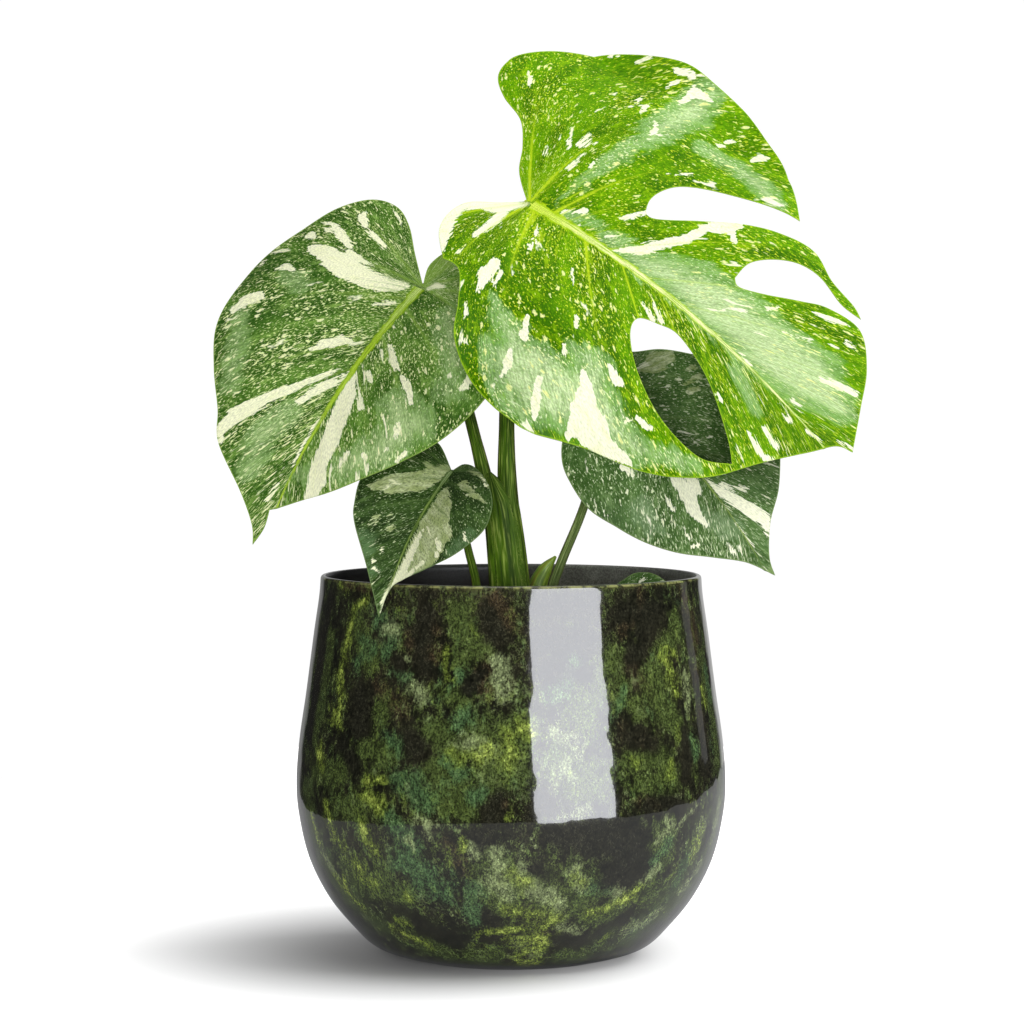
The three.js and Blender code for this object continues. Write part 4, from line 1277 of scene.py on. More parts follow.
class BladeLook:
    """What the layers of a blade's look share: the tree, its inputs and where each place lies."""

    def __init__(self, tree, given):
        self.tree = tree
        self.given = given
        self.across, self.along, self.edge = split(tree, attribute(tree, "flow"))
        self.count, self.gap, self.beneath = split(tree, attribute(tree, "ribs"))
        self.cream_depth, self.sage_depth, self.veil_depth = split(tree, attribute(tree, "paint"))
        self.flat = join(tree, self.across, self.along)
        self.reach = maths(tree, "ABSOLUTE", self.along)
        self.far = maths(tree, "DIVIDE", self.reach, given["Half Width"])
        self.ahead = maths(tree, "DIVIDE", self.across, given["Leaf Length"])
        self.mottle = self.swing(5, 10, detail=3.0)
        self.grain = self.swing(1.0, 1.9)
        self.wide_tear = self.swing(2.6, 11, 6.5)
        self.fine_tear = self.swing(0.9, 2.6, 3.2)

    def drawn_out(self, across_size, along_size):
        return vector_maths(self.tree, "MULTIPLY", self.flat, (1 / across_size, 1 / along_size, 0))

    def swing(self, across_size, along_size, amount=1.0, detail=2.0):
        """Noise about 0, drawn out along the veins."""
        value = noise(self.tree, self.drawn_out(across_size, along_size), 1.0, detail, 0.6)
        return product(self.tree, maths(self.tree, "SUBTRACT", value, 0.5), amount)


def blade_greens(look):
    tree, given = look.tree, look.given
    # Below the midrib the greens are painted deeper and above it lighter: painted shade and light.
    broad = total(tree, look.swing(22, 50), ease(tree, look.along, -15, 15, -0.07, 0.05))
    tone = blend(tree, ease(tree, broad, -0.12, 0.1), given["Deep Green"], given["Green"])
    for pattern, full, most, green in (
        (look.mottle, 0.2, 0.65, "Light Green"), (look.mottle, -0.2, 0.55, "Deep Green"),
        (look.grain, 0.25, 0.75, "Light Green"), (look.grain, -0.2, 0.6, "Deep Green"),
    ):
        tone = blend(tree, ease(tree, pattern, 0.0, full, 0.0, most), tone, given[green])
    return tone


def blade_mist_and_sheen(look, tone):
    """Pale zones with torn edges, the green showing through them: partly a marking and partly painted
    sheen where the leaf would shine. Also gives where they lie.
    """
    tree, given = look.tree, look.given
    clouds = total(tree, look.veil_depth, look.swing(14, 40, 20), look.swing(4, 12, 12))
    mist_and_sheen_field = total(tree, clouds, look.wide_tear, look.fine_tear)
    brushed = ease(tree, look.swing(0.8, 8, detail=3.0), -0.13, 0.13, 0.45, 1.0)
    under_mist_and_sheen = ease(tree, mist_and_sheen_field, -3.0, 2.5)
    thin_mist_and_sheen = product(tree, under_mist_and_sheen, brushed, ease(tree, look.mottle, -0.2, 0.12, 0.55, 0.95))
    mist_and_sheen_field_grain = ease(tree, look.grain, -0.2, 0.15, 0.55, 1.0)
    deep_mist_and_sheen = product(tree, ease(tree, mist_and_sheen_field, 3.0, 17.0), mist_and_sheen_field_grain, brushed)
    tone = blend(tree, thin_mist_and_sheen, tone, given["Veil"])
    return blend(tree, deep_mist_and_sheen, tone, given["Pale Veil"]), under_mist_and_sheen


def blade_flecks(look, tone, flecks, under_mist_and_sheen):
    """Fine specks, then flecks of two sizes, closer together in some parts than in others. Also
    gives where the larger flecks lie."""
    tree, given = look.tree, look.given
    crowd = ease(tree, look.swing(30, 42), -0.2, 0.2, 0.5, 1.5)
    share = product(tree, given["Fleck Share"], crowd)
    rare = ease(tree, share, 0.1, 0.9, 0.15, 0.055)
    fine_specks = ease(tree, maths(tree, "SUBTRACT", look.swing(0.9, 1.7, detail=1.0), rare), 0.0, 0.035)
    coarse_specks = ease(tree, maths(tree, "SUBTRACT", look.swing(1.8, 3.4), rare), 0.03, 0.06)
    speck_tone = blend(tree, under_mist_and_sheen, given["Speck"], given["Pale Veil"])
    tone = blend(tree, product(tree, fine_specks, 0.8), tone, speck_tone)
    tone = blend(tree, coarse_specks, tone, blend(tree, 0.5, speck_tone, given["Fleck"]))
    spots = []
    for across_size, along_size, part, size, ragged, shift in FLECK_KINDS:
        spots.append(use_group(tree, flecks, {
            "Place": vector_maths(tree, "ADD", look.flat, (shift, shift, 0)),
            "Across": across_size, "Along": along_size, "Ragged": ragged,
            "Share": product(tree, share, part), "Size": product(tree, given["Fleck Size"], size),
        })[0])
    small_spots, large_spots = spots
    return blend(tree, product(tree, small_spots, 0.9), tone, given["Fleck"]), large_spots


def blade_patches(look, tone, large_spots):
    """Painted patches, their edges torn along the veins, with a few green islands in them. Also
    gives how free of cream a place is."""
    tree, given = look.tree, look.given
    tear = total(tree, look.wide_tear, look.fine_tear)
    sage = ease(tree, total(tree, look.sage_depth, tear), -0.2, 0.25)
    sage_tone = blend(tree, ease(tree, look.mottle, -0.1, 0.15, 0.0, 0.7), given["Sage"], given["Fleck"])
    sage_tone = blend(tree, ease(tree, look.grain, 0.05, -0.15, 0.0, 0.5), sage_tone, given["Green"])
    tone = blend(tree, sage, tone, sage_tone)
    cream = ease(tree, total(tree, look.cream_depth, tear), -0.15, 0.2)
    islands = ease(tree, look.swing(2.4, 8, detail=3.0), 0.2, 0.24)
    cream = maths(tree, "SUBTRACT", cream, islands, clamp=True)
    plain = maths(tree, "SUBTRACT", 1.0, product(tree, cream, 0.75))
    cream = maths(tree, "MAXIMUM", cream, product(tree, large_spots, 0.95))
    mottled = ease(tree, look.mottle, -0.05, 0.25, 0.0, 0.45)
    brushed = ease(tree, look.swing(1.2, 5), 0.1, 0.3, 0.0, 0.35)
    cream_tone = blend(tree, mottled, given["Cream"], given["Fleck"])
    cream_tone = blend(tree, brushed, cream_tone, given["Veil"])
    return blend(tree, cream, tone, cream_tone), plain


def blade_veins(look, tone, plain, under_mist_and_sheen):
    """Streaks fanning out from the stalk, and the side veins. Also gives how strongly the side veins
    show, and the hollows that they and the finer ones between them lie in."""
    tree, given = look.tree, look.given
    close = ease(tree, distance(tree, look.flat), 6.0, 60.0, 0.9, 0.0)
    fan = product(tree, ease(tree, look.swing(2.2, 30), 0.05, 0.13), close, given["Vein Strength"])
    tone = blend(tree, fan, tone, given["Vein"])
    nearest = product(tree, to_whole(tree, look.count), look.gap)
    half_line = ease(tree, look.far, 0.0, 0.9, 1.5, 0.3)
    half_line = product(tree, half_line, ease(tree, look.swing(2, 14), -0.2, 0.2, 0.55, 1.4))
    line = ease(tree, nearest, half_line, product(tree, half_line, 0.25))
    out_fade = ease(tree, look.far, 0.1, 0.85, 1.0, 0.1)
    tip_fade = ease(tree, look.ahead, 0.15, 0.6, 1.0, 0.3)
    mist_and_sheen_fade = ease(tree, under_mist_and_sheen, 0.0, 1.0, 1.0, 0.4)
    line_fade = product(tree, out_fade, tip_fade, plain, mist_and_sheen_fade)
    vein = product(tree, line, line_fade, given["Vein Strength"])
    glow = ease(tree, nearest, 3.5, 0.5, 0.0, 0.4)
    glow = product(tree, glow, line_fade, given["Vein Strength"])
    tone = blend(tree, glow, tone, given["Light Green"])
    tone = blend(tree, vein, tone, given["Vein"])
    quarters = product(tree, look.count, 4.0)
    fine = maths(tree, "DIVIDE", product(tree, to_whole(tree, quarters), look.gap), 4.0)
    vein_hollows = product(tree, ease(tree, nearest, 1.8, 0.0), line_fade, -0.22)
    fine_hollows = product(tree, ease(tree, fine, 0.45, 0.05), -0.035)
    return tone, vein, total(tree, vein_hollows, fine_hollows)


def blade_midrib(look, tone):
    """A pale streaked midrib with a greener edge, widest near the stalk."""
    tree, given = look.tree, look.given
    on_leaf = ease(tree, look.across, -0.8, 0.6)
    taper = ease(tree, look.ahead, 0.0, 1.0, 1.0, 0.2)
    flare = ease(tree, look.ahead, 0.0, 0.16, 1.4, 1.0)
    waver = ease(tree, noise(tree, look.flat, 0.16), 0.35, 0.65, 0.75, 1.2)
    outer_half = product(tree, given["Rib Width"], taper, flare, waver)
    inner_half = product(tree, outer_half, 0.75)
    streaks = noise(tree, look.drawn_out(24, 0.7), 1.0)
    outer = ease(tree, look.reach, outer_half, product(tree, outer_half, 0.6))
    outer = product(tree, outer, on_leaf, ease(tree, look.ahead, 0.3, 0.8, 1.0, 0.45))
    inner = ease(tree, look.reach, inner_half, product(tree, inner_half, 0.35))
    inner = product(tree, inner, on_leaf, ease(tree, streaks, 0.38, 0.58, 0.1, 1.0))
    greener = ease(tree, look.ahead, 0.0, 0.25, 0.8, 0.0)
    tone = blend(tree, outer, tone, given["Midrib Edge"])
    tone = blend(tree, inner, tone, blend(tree, greener, given["Midrib"], given["Speck"]))
    groove = product(tree, outer, ease(tree, streaks, 0.43, 0.33, 0.0, 0.6))
    return blend(tree, groove, tone, given["Green"])


def blade_shade(look, tone):
    """Fine light and dark all over, and the shade above the midrib near the stalk."""
    tree = look.tree
    fine = ease(tree, look.swing(0.8, 1.2, detail=1.0), -0.16, 0.16, 0.84, 1.12)
    clear = maths(tree, "MAXIMUM", ease(tree, look.ahead, 0.35, 0.6), ease(tree, look.along, 4.0, -6.0))
    broad = ease(tree, clear, 0.0, 1.0, look.given["Upper Shade"], 1.0)
    return scaled(tree, tone, product(tree, fine, broad))


def blade_group(flecks):
    """The look of a variegated blade: its colour, with a margin and an underside, sheen and relief."""
    inputs = [(label, "Color") for label in BLADE_TONES] + [(label, "Float") for label in BLADE_MEASURES]
    outputs = [("Colour", "Color"), ("Roughness", "Float"), ("Height", "Float")]
    tree, given, result = new_group("variegated_blade", inputs, outputs)
    look = BladeLook(tree, given)
    tone = blade_greens(look)
    tone, under_mist_and_sheen = blade_mist_and_sheen(look, tone)
    tone, large_spots = blade_flecks(look, tone, flecks, under_mist_and_sheen)
    tone, plain = blade_patches(look, tone, large_spots)
    tone, vein, hollows = blade_veins(look, tone, plain, under_mist_and_sheen)
    tone = blade_shade(look, blade_midrib(look, tone))
    rim = product(tree, ease(tree, look.edge, 0.85, 0.35, 0.0, 0.8), plain)
    tone = blend(tree, rim, tone, given["Margin"])
    dull = blend(tree, 0.5, tone, given["Underside"])
    dull = blend(tree, product(tree, vein, 0.7), dull, given["Midrib"])
    tree.links.new(blend(tree, look.beneath, tone, dull), result["Colour"])

    pores = look.swing(1.6, 2.4)
    rough = total(tree, ease(tree, pores, -0.2, 0.2, 0.36, 0.5), product(tree, look.beneath, 0.18))
    tree.links.new(rough, result["Roughness"])
    height = total(tree, hollows, product(tree, pores, 0.07), product(tree, look.mottle, 0.25))
    tree.links.new(height, result["Height"])
    return tree


def new_finish(name):
    finish = bpy.data.materials.new(name)
    finish.use_nodes = True
    finish.node_tree.nodes.clear()
    return finish, finish.node_tree


def relief(tree, height, strength):
    """Low relief: height is in millimetres."""
    return add(tree, "Bump", {"Height": height, "Strength": strength, "Distance": MM}).outputs[0]


def show(tree, shader):
    tree.links.new(shader.outputs[0], add(tree, "OutputMaterial").inputs["Surface"])


def skin(tree, values):
    """One skin as the whole of a finish."""
    show(tree, add(tree, "BsdfPrincipled", values))


def blade_finish(name, group, leaf, look):
    """look holds the leaf's tones and how strongly its flecks, veins and shade show."""
    finish, tree = new_finish(name)
    values = {label: colour(*look["tones"][label]) for label in BLADE_TONES}
    values.update({
        "Rib Width": 1.4 * leaf["rib"], "Leaf Length": float(leaf["length"]),
        "Half Width": float(leaf["half_width"]), "Fleck Share": look["fleck_share"],
        "Vein Strength": look["vein_strength"], "Fleck Size": look["fleck_size"],
        "Upper Shade": look.get("upper_shade", 1.0),
    })
    blade = use_group(tree, group, values)
    face = add(tree, "BsdfPrincipled", {
        "Base Color": blade["Colour"], "Roughness": blade["Roughness"], "Specular IOR Level": 0.06,
        "Normal": relief(tree, blade["Height"], 0.8),
    })
    glow = add(tree, "BsdfTranslucent", {"Color": blade["Colour"]})
    show(tree, add(tree, "MixShader", {0: 0.3, 1: face.outputs[0], 2: glow.outputs[0]}))
    return finish


def stalk_finish(name, deep, green, pale, streaks):
    """Green skin with lengthwise streaks, browner at its silhouettes: there partly painted shade and
    partly browner sheath margins. streaks is how strong the pale ones are.
    It turns yellow-green up at the largest blade and brownish down at the soil."""
    finish, tree = new_finish(name)
    sine, cosine, length = split(tree, attribute(tree, "strand"))
    height = split(tree, millimetres(tree))[2]
    strands = join(tree, sine, cosine, maths(tree, "DIVIDE", length, 170))
    thin = noise(tree, strands, 7.5, 2.0, 0.6)
    wide = noise(tree, strands, 1.9, 2.0)
    spots = noise(tree, join(tree, sine, cosine, maths(tree, "DIVIDE", length, 40)), 5.0, 4.0, 0.75)
    tone = blend(tree, ease(tree, wide, 0.38, 0.6), colour(*deep), colour(*green))
    tone = blend(tree, ease(tree, thin, 0.52, 0.68, 0.0, streaks), tone, colour(*pale))
    tone = blend(tree, ease(tree, thin, 0.47, 0.34, 0.0, 0.85), tone, colour(*deep))
    tone = blend(tree, ease(tree, spots, 0.58, 0.72, 0.0, 0.22), tone, colour(*pale))
    tone = blend(tree, ease(tree, spots, 0.44, 0.32, 0.0, 0.3), tone, colour(*deep))
    # brown where the skin turns from view: painted shade at the silhouettes, with browner sheath margins
    side = add(tree, "LayerWeight", {"Blend": 0.5}).outputs["Facing"]
    tone = blend(tree, ease(tree, side, 0.35, 0.85, 0.0, 0.85), tone, colour(74, 56, 26))
    blade_foot = LEAVES["large"]["attach"][2]
    tone = blend(tree, ease(tree, height, blade_foot - 12, blade_foot - 3), tone, colour(184, 206, 60))
    low = ease(tree, height, SOIL_TOP + 16, SOIL_TOP)
    tone = blend(tree, product(tree, low, 0.35), tone, colour(96, 82, 44))
    skin(tree, {
        "Base Color": tone, "Roughness": 0.5, "Specular IOR Level": 0.06,
        "Normal": relief(tree, product(tree, thin, 0.9), 0.8),
    })
    return finish


def shoot_finish():
    finish, tree = new_finish("new_shoot_skin")
    sine, cosine, length = split(tree, attribute(tree, "strand"))
    place = join(tree, sine, cosine, maths(tree, "DIVIDE", length, 60))
    thin = noise(tree, place, 5.0, 3.0, 0.6)
    tone = blend(tree, ease(tree, thin, 0.35, 0.65), colour(82, 110, 28), colour(128, 154, 50))
    tone = blend(tree, ease(tree, thin, 0.6, 0.72, 0.0, 0.6), tone, colour(186, 200, 110))
    turn = maths(tree, "ARCTAN2", sine, cosine)
    seam = maths(tree, "FRACT", maths(tree, "DIVIDE", maths(tree, "SUBTRACT", turn, 0.9), math.tau))
    off_seam = maths(tree, "ABSOLUTE", maths(tree, "SUBTRACT", seam, 0.5))
    tone = blend(tree, ease(tree, off_seam, 0.04, 0.0, 0.0, 0.5), tone, colour(116, 84, 44))
    skin(tree, {
        "Base Color": tone, "Roughness": 0.38,
        "Normal": relief(tree, product(tree, thin, 0.3), 0.6),
    })
    return finish


def glaze_finish():
    """Olive-black glaze sponged with greens, under a clear glassy coat."""
    finish, tree = new_finish("pot_glaze_marbled")
    place = millimetres(tree, (1, 1, 0.7))
    yellow, green, teal = split(tree, attribute(tree, "greens"))
    pale, dark, brown = split(tree, attribute(tree, "shades"))
    crest, foot = split(tree, attribute(tree, "ends"))[:2]

    def swing(size, amount, shift=(0, 0, 0), detail=3.0, roughness=0.6):
        moved = vector_maths(tree, "ADD", place, shift)
        value = noise(tree, moved, 1 / size, detail, roughness)
        return product(tree, maths(tree, "SUBTRACT", value, 0.5), amount)

    blot = swing(12, 1.6, detail=8.0, roughness=0.75)
    sponge = swing(5, 3.0, (40, 0, 9), 8.0, 0.85)
    grain = swing(1.3, 4.6, (0, 70, 3), 2.0, 0.8)
    ragged = total(tree, blot, sponge)
    shaded = product(tree, dark, -0.5)

    def mark(cover, size, shift, start, full, most=1.0):
        value = total(tree, cover, swing(size, 3.2, shift, 8.0, 0.8), ragged, shaded)
        return ease(tree, value, start, full, 0.0, most)

    def threads(size, shift, width):
        """Fine crooked lines, where a broader cloud crosses its middle."""
        return ease(tree, maths(tree, "ABSOLUTE", swing(size, 1.0, shift, 2.0, 0.7)), width, 0.0)

    broad = swing(45, 3.0, (5, 5, 5))
    cloudy = ease(tree, total(tree, broad, blot), -0.6, 0.6)
    tone = blend(tree, cloudy, colour(18, 19, 12), colour(35, 34, 24))
    tone = blend(tree, mark(brown, 16, (33, -64, 90), 0.2, 1.1, 0.8), tone, colour(52, 43, 29))
    tone = blend(tree, mark(green, 14, (300, 70, 20), -0.2, 0.8, 0.9), tone, colour(54, 65, 31))
    tone = blend(tree, mark(teal, 12, (-90, 260, 140), 0.1, 1.1, 0.85), tone, colour(54, 76, 46))
    tone = blend(tree, mark(pale, 11, (50, -180, 240), 0.2, 1.2, 0.8), tone, colour(104, 114, 78))
    tone = blend(tree, mark(yellow, 10, (120, 30, -300), 0.15, 1.1, 0.85), tone, colour(78, 91, 34))
    tone = blend(tree, mark(yellow, 10, (120, 30, -300), 0.85, 1.7, 0.8), tone, colour(146, 159, 74))
    blackened = ease(tree, total(tree, dark, ragged), 0.2, 1.1, 0.0, 0.8)
    tone = blend(tree, blackened, tone, colour(26, 26, 19))
    lines = maths(tree, "MAXIMUM", threads(4.5, (7, 90, 44), 0.02), threads(2.2, (61, 5, 30), 0.03))
    tone = scaled(tree, tone, ease(tree, lines, 0.0, 1.0, 0.85, 1.7))
    tone = scaled(tree, tone, ease(tree, sponge, -0.4, 0.4, 0.6, 1.45))
    tone = scaled(tree, tone, ease(tree, grain, -1.1, 1.1, 0.22, 2.1))
    chipped = ease(tree, swing(7, 1.0, (9, 9, 70), 4.0, 0.7), -0.08, 0.1, 0.05, 0.75)
    tone = blend(tree, product(tree, crest, chipped), tone, colour(150, 152, 92))
    # darker towards the foot
    tone = blend(tree, product(tree, foot, 0.6), tone, colour(34, 34, 26))

    waves = relief(tree, total(tree, swing(26, 1.0, detail=2.0), swing(5, 0.03, detail=2.0)), 0.5)
    skin(tree, {
        "Base Color": tone, "Roughness": 0.1, "Specular IOR Level": 0.3, "Normal": waves,
        "Coat Weight": 1.0, "Coat Roughness": 0.02, "Coat IOR": 1.55, "Coat Normal": waves,
    })
    return finish


def pot_inner_finish():
    """Smoky slip on the inside wall, black on the left and greyer to the right: painted light."""
    finish, tree = new_finish("pot_inner_slip")
    where = millimetres(tree)
    cloud = noise(tree, where, 1 / 30, 3.0)
    grit = noise(tree, where, 1 / 1.2, 2.0)
    # painted light: the wall lit greyer towards the right
    lit = ease(tree, split(tree, where)[0], -20, 45)
    tone = blend(tree, lit, colour(26, 26, 26), colour(104, 105, 99))
    tone = scaled(tree, tone, ease(tree, cloud, 0.35, 0.65, 0.7, 1.25))
    tone = scaled(tree, tone, ease(tree, grit, 0.35, 0.65, 0.7, 1.4))
    skin(tree, {
        "Base Color": tone, "Roughness": ease(tree, cloud, 0.3, 0.7, 0.3, 0.42),
        "Normal": relief(tree, product(tree, grit, 0.1), 0.6),
    })
    return finish


def soil_finish(name, damp, dry):
    finish, tree = new_finish(name)
    where = millimetres(tree)
    clods = noise(tree, where, 1 / 5, 4.0, 0.7)
    grit = noise(tree, where, 1 / 1.1, 3.0, 0.7)
    tone = blend(tree, ease(tree, clods, 0.4, 0.66), colour(*damp), colour(*dry))
    tone = blend(tree, ease(tree, grit, 0.42, 0.3, 0.0, 0.7), tone, colour(20, 15, 11))
    bumps = total(tree, product(tree, clods, 1.6), product(tree, grit, 0.6))
    skin(tree, {"Base Color": tone, "Roughness": 0.92, "Normal": relief(tree, bumps, 0.8)})
    return finish


# The plant

SLOTS = {
    "blade_large": "leaf_bright",
    "blade_left": "leaf_mid",
    "blade_low": "leaf_dark",
    "blade_right": "leaf_dark",
    "blade_inner": "leaf_dark",
}

# Each leaf's tones. They are partly the leaves' own greens and partly painted light and shade, brighter
# where a leaf looks more lit. The misty tones are partly painted sheen.
BRIGHT = {
    "Deep Green": (56, 108, 2), "Green": (92, 151, 2), "Light Green": (146, 194, 6),
    "Veil": (146, 187, 112), "Pale Veil": (216, 233, 182), "Sage": (176, 194, 110),
    "Cream": (246, 247, 218), "Fleck": (236, 241, 160), "Speck": (204, 222, 48),
    "Midrib": (238, 242, 180), "Midrib Edge": (172, 206, 12), "Vein": (190, 214, 36),
    "Margin": (150, 190, 36), "Underside": (150, 176, 110),
}
MID = {
    "Deep Green": (50, 89, 26), "Green": (88, 131, 47), "Light Green": (147, 187, 90),
    "Veil": (142, 177, 105), "Pale Veil": (198, 219, 160), "Sage": (166, 186, 114),
    "Cream": (246, 247, 214), "Fleck": (240, 244, 192), "Speck": (214, 230, 152),
    "Midrib": (184, 214, 70), "Midrib Edge": (144, 182, 26), "Vein": (142, 176, 72),
    "Margin": (140, 172, 76), "Underside": (128, 154, 104),
}
# Lighter greens painted onto the leaves that lie in shade, under the large leaf and down in the pot:
# painted light.
LIGHTENED_IN_SHADE = {
    "Deep Green": (62, 92, 42), "Green": (84, 118, 60), "Light Green": (130, 160, 100),
    "Veil": (122, 150, 104), "Pale Veil": (172, 194, 150), "Sage": (158, 174, 112),
    "Cream": (250, 250, 226), "Fleck": (238, 242, 208), "Speck": (190, 208, 160),
    "Midrib": (150, 174, 92), "Midrib Edge": (90, 118, 50), "Vein": (124, 152, 84),
    "Margin": (126, 152, 92), "Underside": (128, 150, 108),
}
DARK = {
    "Deep Green": (32, 51, 19), "Green": (51, 76, 32), "Light Green": (92, 122, 62),
    "Veil": (92, 124, 78), "Pale Veil": (140, 166, 118), "Sage": (166, 181, 120),
    "Cream": (240, 242, 206), "Fleck": (216, 224, 178), "Speck": (158, 180, 128),
    "Midrib": (128, 152, 74), "Midrib Edge": (66, 92, 34), "Vein": (92, 120, 60),
    "Margin": (104, 128, 76), "Underside": (108, 130, 92),
}

# How each blade's tones, flecks and veins show, and how shaded it is above its midrib
LOOKS = {
    "large": dict(tones=BRIGHT, fleck_share=0.5, vein_strength=0.85, fleck_size=1.0),
    "left": dict(tones=MID, fleck_share=0.62, vein_strength=0.45, fleck_size=1.05),
    "low": dict(tones=DARK, fleck_share=0.32, vein_strength=0.35, fleck_size=0.85),
    "right": dict(tones=LIGHTENED_IN_SHADE, fleck_share=0.5, vein_strength=0.35, fleck_size=0.85, upper_shade=0.62),
    "inner": dict(tones=LIGHTENED_IN_SHADE, fleck_share=0.5, vein_strength=0.3, fleck_size=0.8),
}


def make_plant():
    group = blade_group(flecks_group())
    for key, leaf in LEAVES.items():
        finish = blade_finish("leaf_" + key, group, leaf, LOOKS[key])
        make_blade("blade_" + key, leaf, finish)

    deep_stalk = stalk_finish("stalk_skin", (38, 58, 12), (70, 100, 20), (140, 160, 72), 0.75)
    grey_stalk = stalk_finish("petiole_skin", (58, 76, 34), (92, 112, 58), (164, 176, 118), 0.7)
    fork = loft_stalk("stem_fork", STALKS["large"], stalk_ribs)
    for key in ("left", "sheath"):
        fork = unite(fork, loft_stalk("stem_" + key, STALKS[key], stalk_ribs))
    take_finish(fork, deep_stalk)
    stand_for(fork, "stalk_green", "stem_fork")
    for key, finish in (("low", deep_stalk), ("right", grey_stalk), ("inner", grey_stalk)):
        stalk = loft_stalk("stalk_" + key, STALKS[key], stalk_ribs)
        take_finish(stalk, finish)
        stand_for(stalk, "stalk_green", "stalk_" + key)
    shoot = loft_stalk("new_shoot", STALKS["shoot"], shoot_roll)
    take_finish(shoot, shoot_finish())
    stand_for(shoot, "shoot_green", "new_shoot")


# Loose bits on the soil. Geometry nodes take the size of their lumps in metres.
STREWN_BITS = {
    "soil_crumbs": dict(
        finish="soil_crumbs", damp=(46, 33, 23), dry=(98, 74, 52),
        lumps_per_square_metre=62000.0, lump_size=0.0019, flatness=0.8, seed=4, roundness_steps=1,
    ),
    "soil_bark_bits": dict(
        finish="soil_bark", damp=(70, 46, 28), dry=(120, 86, 56),
        lumps_per_square_metre=5200.0, lump_size=0.0042, flatness=0.4, seed=11, roundness_steps=2,
    ),
    "soil_white_bits": dict(
        finish="soil_white_grit", damp=(196, 190, 176), dry=(228, 224, 214),
        lumps_per_square_metre=4200.0, lump_size=0.0019, flatness=0.9, seed=23, roundness_steps=2,
    ),
}


def scatter_tree(name, finish):
    """Strews lumps over a surface, of the number, size, flatness and seed that its inputs give."""
    inputs = [
        ("Ground", "Geometry"), ("Lumps per square metre", "Float"), ("Lump size", "Float"),
        ("Flatness", "Float"), ("Seed", "Int"), ("Roundness steps", "Int"),
    ]
    tree, given, result = new_group(name, inputs, [("Lumps", "Geometry")], "GeometryNodeTree")
    tree.is_modifier = True

    def node(kind, values=None, **settings):
        return set_up_node(tree, kind, values, **settings).outputs

    places = node("GeometryNodeDistributePointsOnFaces", {
        "Mesh": given["Ground"], "Density": given["Lumps per square metre"], "Seed": given["Seed"],
    })
    ball = node("GeometryNodeMeshIcoSphere", {
        "Radius": given["Lump size"], "Subdivisions": given["Roundness steps"],
    })
    spin = node("FunctionNodeRandomValue", {
        "Seed": given["Seed"], 1: (math.tau, math.tau, math.tau),
    }, data_type="FLOAT_VECTOR")
    size = node("FunctionNodeRandomValue", {
        "Seed": given["Seed"], 0: (0.45, 0.45, 0.45), 1: (1.25, 1.25, 1.25),
    }, data_type="FLOAT_VECTOR")
    flat = node("ShaderNodeCombineXYZ", {"X": 1.0, "Y": 1.0, "Z": given["Flatness"]})
    squash = node("ShaderNodeVectorMath", {0: size[0], 1: flat[0]}, operation="MULTIPLY")
    lumps = node("GeometryNodeInstanceOnPoints", {
        "Points": places["Points"], "Instance": ball["Mesh"], "Rotation": spin[0], "Scale": squash[0],
    })
    real = node("GeometryNodeRealizeInstances", {"Geometry": lumps[0]})
    where = node("GeometryNodeInputPosition")
    rough = node("ShaderNodeTexNoise", {"Vector": where[0], "Scale": 420.0, "Detail": 1.0})
    middle = node("ShaderNodeVectorMath", {0: rough["Color"], 1: (0.5, 0.5, 0.5)}, operation="SUBTRACT")
    push = node("ShaderNodeVectorMath", {0: middle[0], "Scale": given["Lump size"]}, operation="SCALE")
    pushed = node("GeometryNodeSetPosition", {"Geometry": real[0], "Offset": push[0]})
    dressed = node("GeometryNodeSetMaterial", {"Geometry": pushed[0], "Material": finish})
    tree.links.new(dressed[0], result[0])
    return tree


def soil_ground():
    """The open top of the soil, clear of the stalks and the wall, for strewing."""
    points = []
    faces = []
    feet = [(*stalk["points"][1][:2], stalk["width"][0]) for stalk in STALKS.values()]
    far = STREWN_RADIUS + 1
    half = STREWN_STEP / 2
    for x in np.arange(-far, far, STREWN_STEP):
        for y in np.arange(-far, far, STREWN_STEP):
            free = all(
                math.hypot(x + half - foot_x, y + half - foot_y) > reach + STREWN_STEP
                for foot_x, foot_y, reach in feet
            )
            if free and math.hypot(x + half, y + half) < STREWN_RADIUS:
                faces.append(tuple(range(len(points), len(points) + 4)))
                for dx, dy in ((0, 0), (1, 0), (1, 1), (0, 1)):
                    corner_x = x + dx * STREWN_STEP
                    corner_y = y + dy * STREWN_STEP
                    points.append((corner_x, corner_y, soil_height(corner_x, corner_y) + STREWN_LIFT))
    return new_mesh("soil_ground", np.array(points) * MM, faces)


def strew(name, ground, bits):
    finish = soil_finish(bits["finish"], bits["damp"], bits["dry"])
    tree = scatter_tree(name + "_strewing", finish)
    piece = put_in_scene(name, ground.copy())
    spread = piece.modifiers.new("strewn", "NODES")
    spread.node_group = tree
    for item in tree.interface.items_tree:
        label = item.name.lower().replace(" ", "_")
        if item.in_out == "INPUT" and label in bits:
            spread[item.identifier] = bits[label]
    plain = take_modified_mesh(piece)
    plain.materials.clear()
    plain.materials.append(finish)
    plain.shade_smooth()
    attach(piece, "root")


def make_strewn_bits():
    ground = soil_ground()
    for name, bits in STREWN_BITS.items():
        strew(name, ground, bits)


# Studio

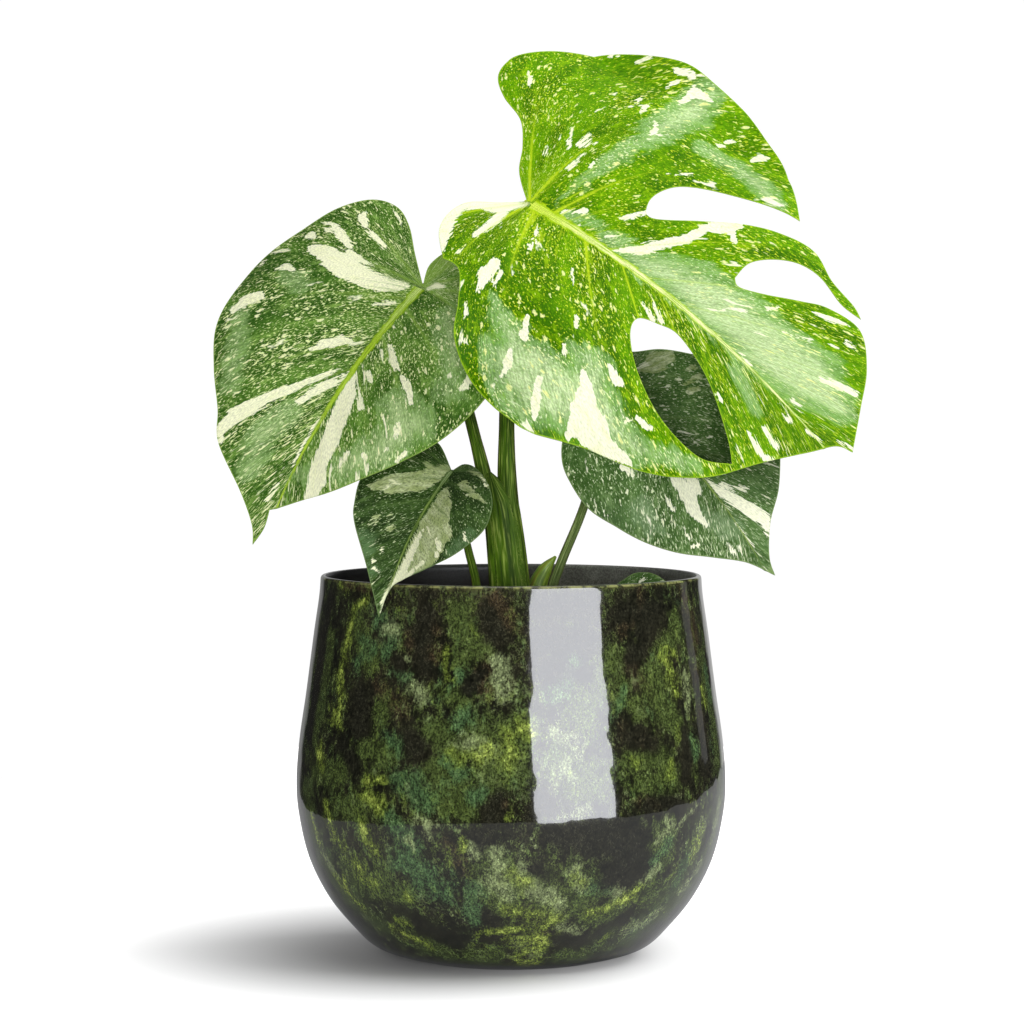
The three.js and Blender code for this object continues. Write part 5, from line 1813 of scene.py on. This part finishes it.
def make_floor():
    """A pale table with a rounded front. Its rim is what cuts off the reflections low on the pot, and
    it is dimmer in them than to the eye."""
    rim = [(x, y, 0) for x, y in TABLE_RIM]
    floor = put_in_scene("studio_floor", new_mesh("studio_floor", rim, [tuple(range(len(rim)))]))
    finish, tree = new_finish("studio_floor_pale")
    path = add(tree, "LightPath").outputs
    tone = blend(tree, path["Is Glossy Ray"], (0.56, 0.56, 0.56, 1), (0.3, 0.3, 0.31, 1))
    # To the eye alone the floor glows white away from the pot: painted light that fades the pot's shadow
    # out.
    where = add(tree, "TexCoord").outputs["Object"]
    off_centre = vector_maths(tree, "MULTIPLY_ADD", where, (1.0, 0.8, 1.0), (0.05, -0.024, 0.0))
    away = distance(tree, off_centre)
    glow = product(tree, ease(tree, away, 0.055, 0.3), path["Is Camera Ray"])
    skin(tree, {
        "Base Color": tone, "Roughness": 0.8, "Specular IOR Level": 0.0,
        "Emission Color": (1, 1, 1, 1), "Emission Strength": glow,
    })
    take_finish(floor, finish)


def soft_light(name, place, aim, size, radiance, tint=(1, 1, 1), roll=0, shade=True, mirror=True):
    """A rectangular lamp, rolled about its own axis by roll degrees. shade and mirror say whether it
    lights surfaces and shows in shiny ones."""
    width, height = size
    lamp = bpy.data.lights.new(name, "AREA")
    lamp.shape = "RECTANGLE"
    lamp.size = width
    lamp.size_y = height
    lamp.energy = radiance * math.pi * width * height
    lamp.color = tint
    light = put_in_scene(name, lamp)
    light.location = place
    facing = (Vector(aim) - Vector(place)).to_track_quat("-Z", "Y")
    light.rotation_euler = (facing @ Quaternion((0, 0, 1), math.radians(roll))).to_euler()
    light.visible_camera = False
    light.visible_diffuse = shade
    light.visible_transmission = shade
    light.visible_glossy = mirror


def make_world():
    """White behind the plant. In reflections the room is dark but for the backdrop and overhead."""
    world = bpy.data.worlds.new("studio")
    bpy.context.scene.world = world
    world.use_nodes = True
    tree = world.node_tree
    tree.nodes.clear()
    x, y, z = split(tree, add(tree, "TexCoord").outputs["Generated"])
    backdrop = product(tree, ease(tree, y, 0.88, 0.94), ease(tree, x, -0.2, 0.2, 0.25, 0.5))
    overhead = ease(tree, z, 0.5, 0.8, 0.0, 0.4)
    mirrored = maths(tree, "MAXIMUM", maths(tree, "MAXIMUM", overhead, backdrop), 0.02)
    around = ease(tree, y, -0.2, 0.7, 0.14, 0.8)
    path = add(tree, "LightPath").outputs
    strength = either(tree, path["Is Glossy Ray"], around, mirrored)
    strength = either(tree, path["Is Camera Ray"], strength, 1.02)
    sky = add(tree, "Background", {"Color": (1, 1, 1, 1), "Strength": strength})
    tree.links.new(sky.outputs[0], add(tree, "OutputWorld").inputs["Surface"])


def make_studio():
    make_floor()
    make_world()
    middle = (0.0, 0.0, 0.25)
    soft_light("right_softbox", (1.45, -0.1, 1.55), middle, (2.5, 1.1), 5.9, mirror=False)
    soft_light("overhead", (0.1, -0.1, 2.2), (0.05, 0.0, 0.3), (1.4, 1.4), 0.9)
    soft_light("front_fill", (-0.1, -2.3, 0.3), middle, (1.6, 0.5), 22.0, mirror=False)
    soft_light("front_softbox", (0.62, -1.0, 0.22), (0.0, -0.03, 0.2), (0.87, 1.05), 7.9,
               tint=(0.93, 0.945, 1.0), roll=7, shade=False)
    soft_light("edge_strip", (1.0, 0.62, 0.3), (0.0, 0.0, 0.17), (0.16, 0.4), 0.2, shade=False)
    camera_data = bpy.data.cameras.new("camera")
    camera_data.lens = CAMERA_LENS
    camera = put_in_scene("camera", camera_data)
    camera.location = CAMERA_PLACE
    camera.rotation_euler = (math.pi / 2 - CAMERA_TILT, 0, 0)
    bpy.context.scene.camera = camera
    bpy.context.scene.view_settings.view_transform = "Standard"


make_studio()
make_pot()
make_soil()
make_strewn_bits()
make_plant()
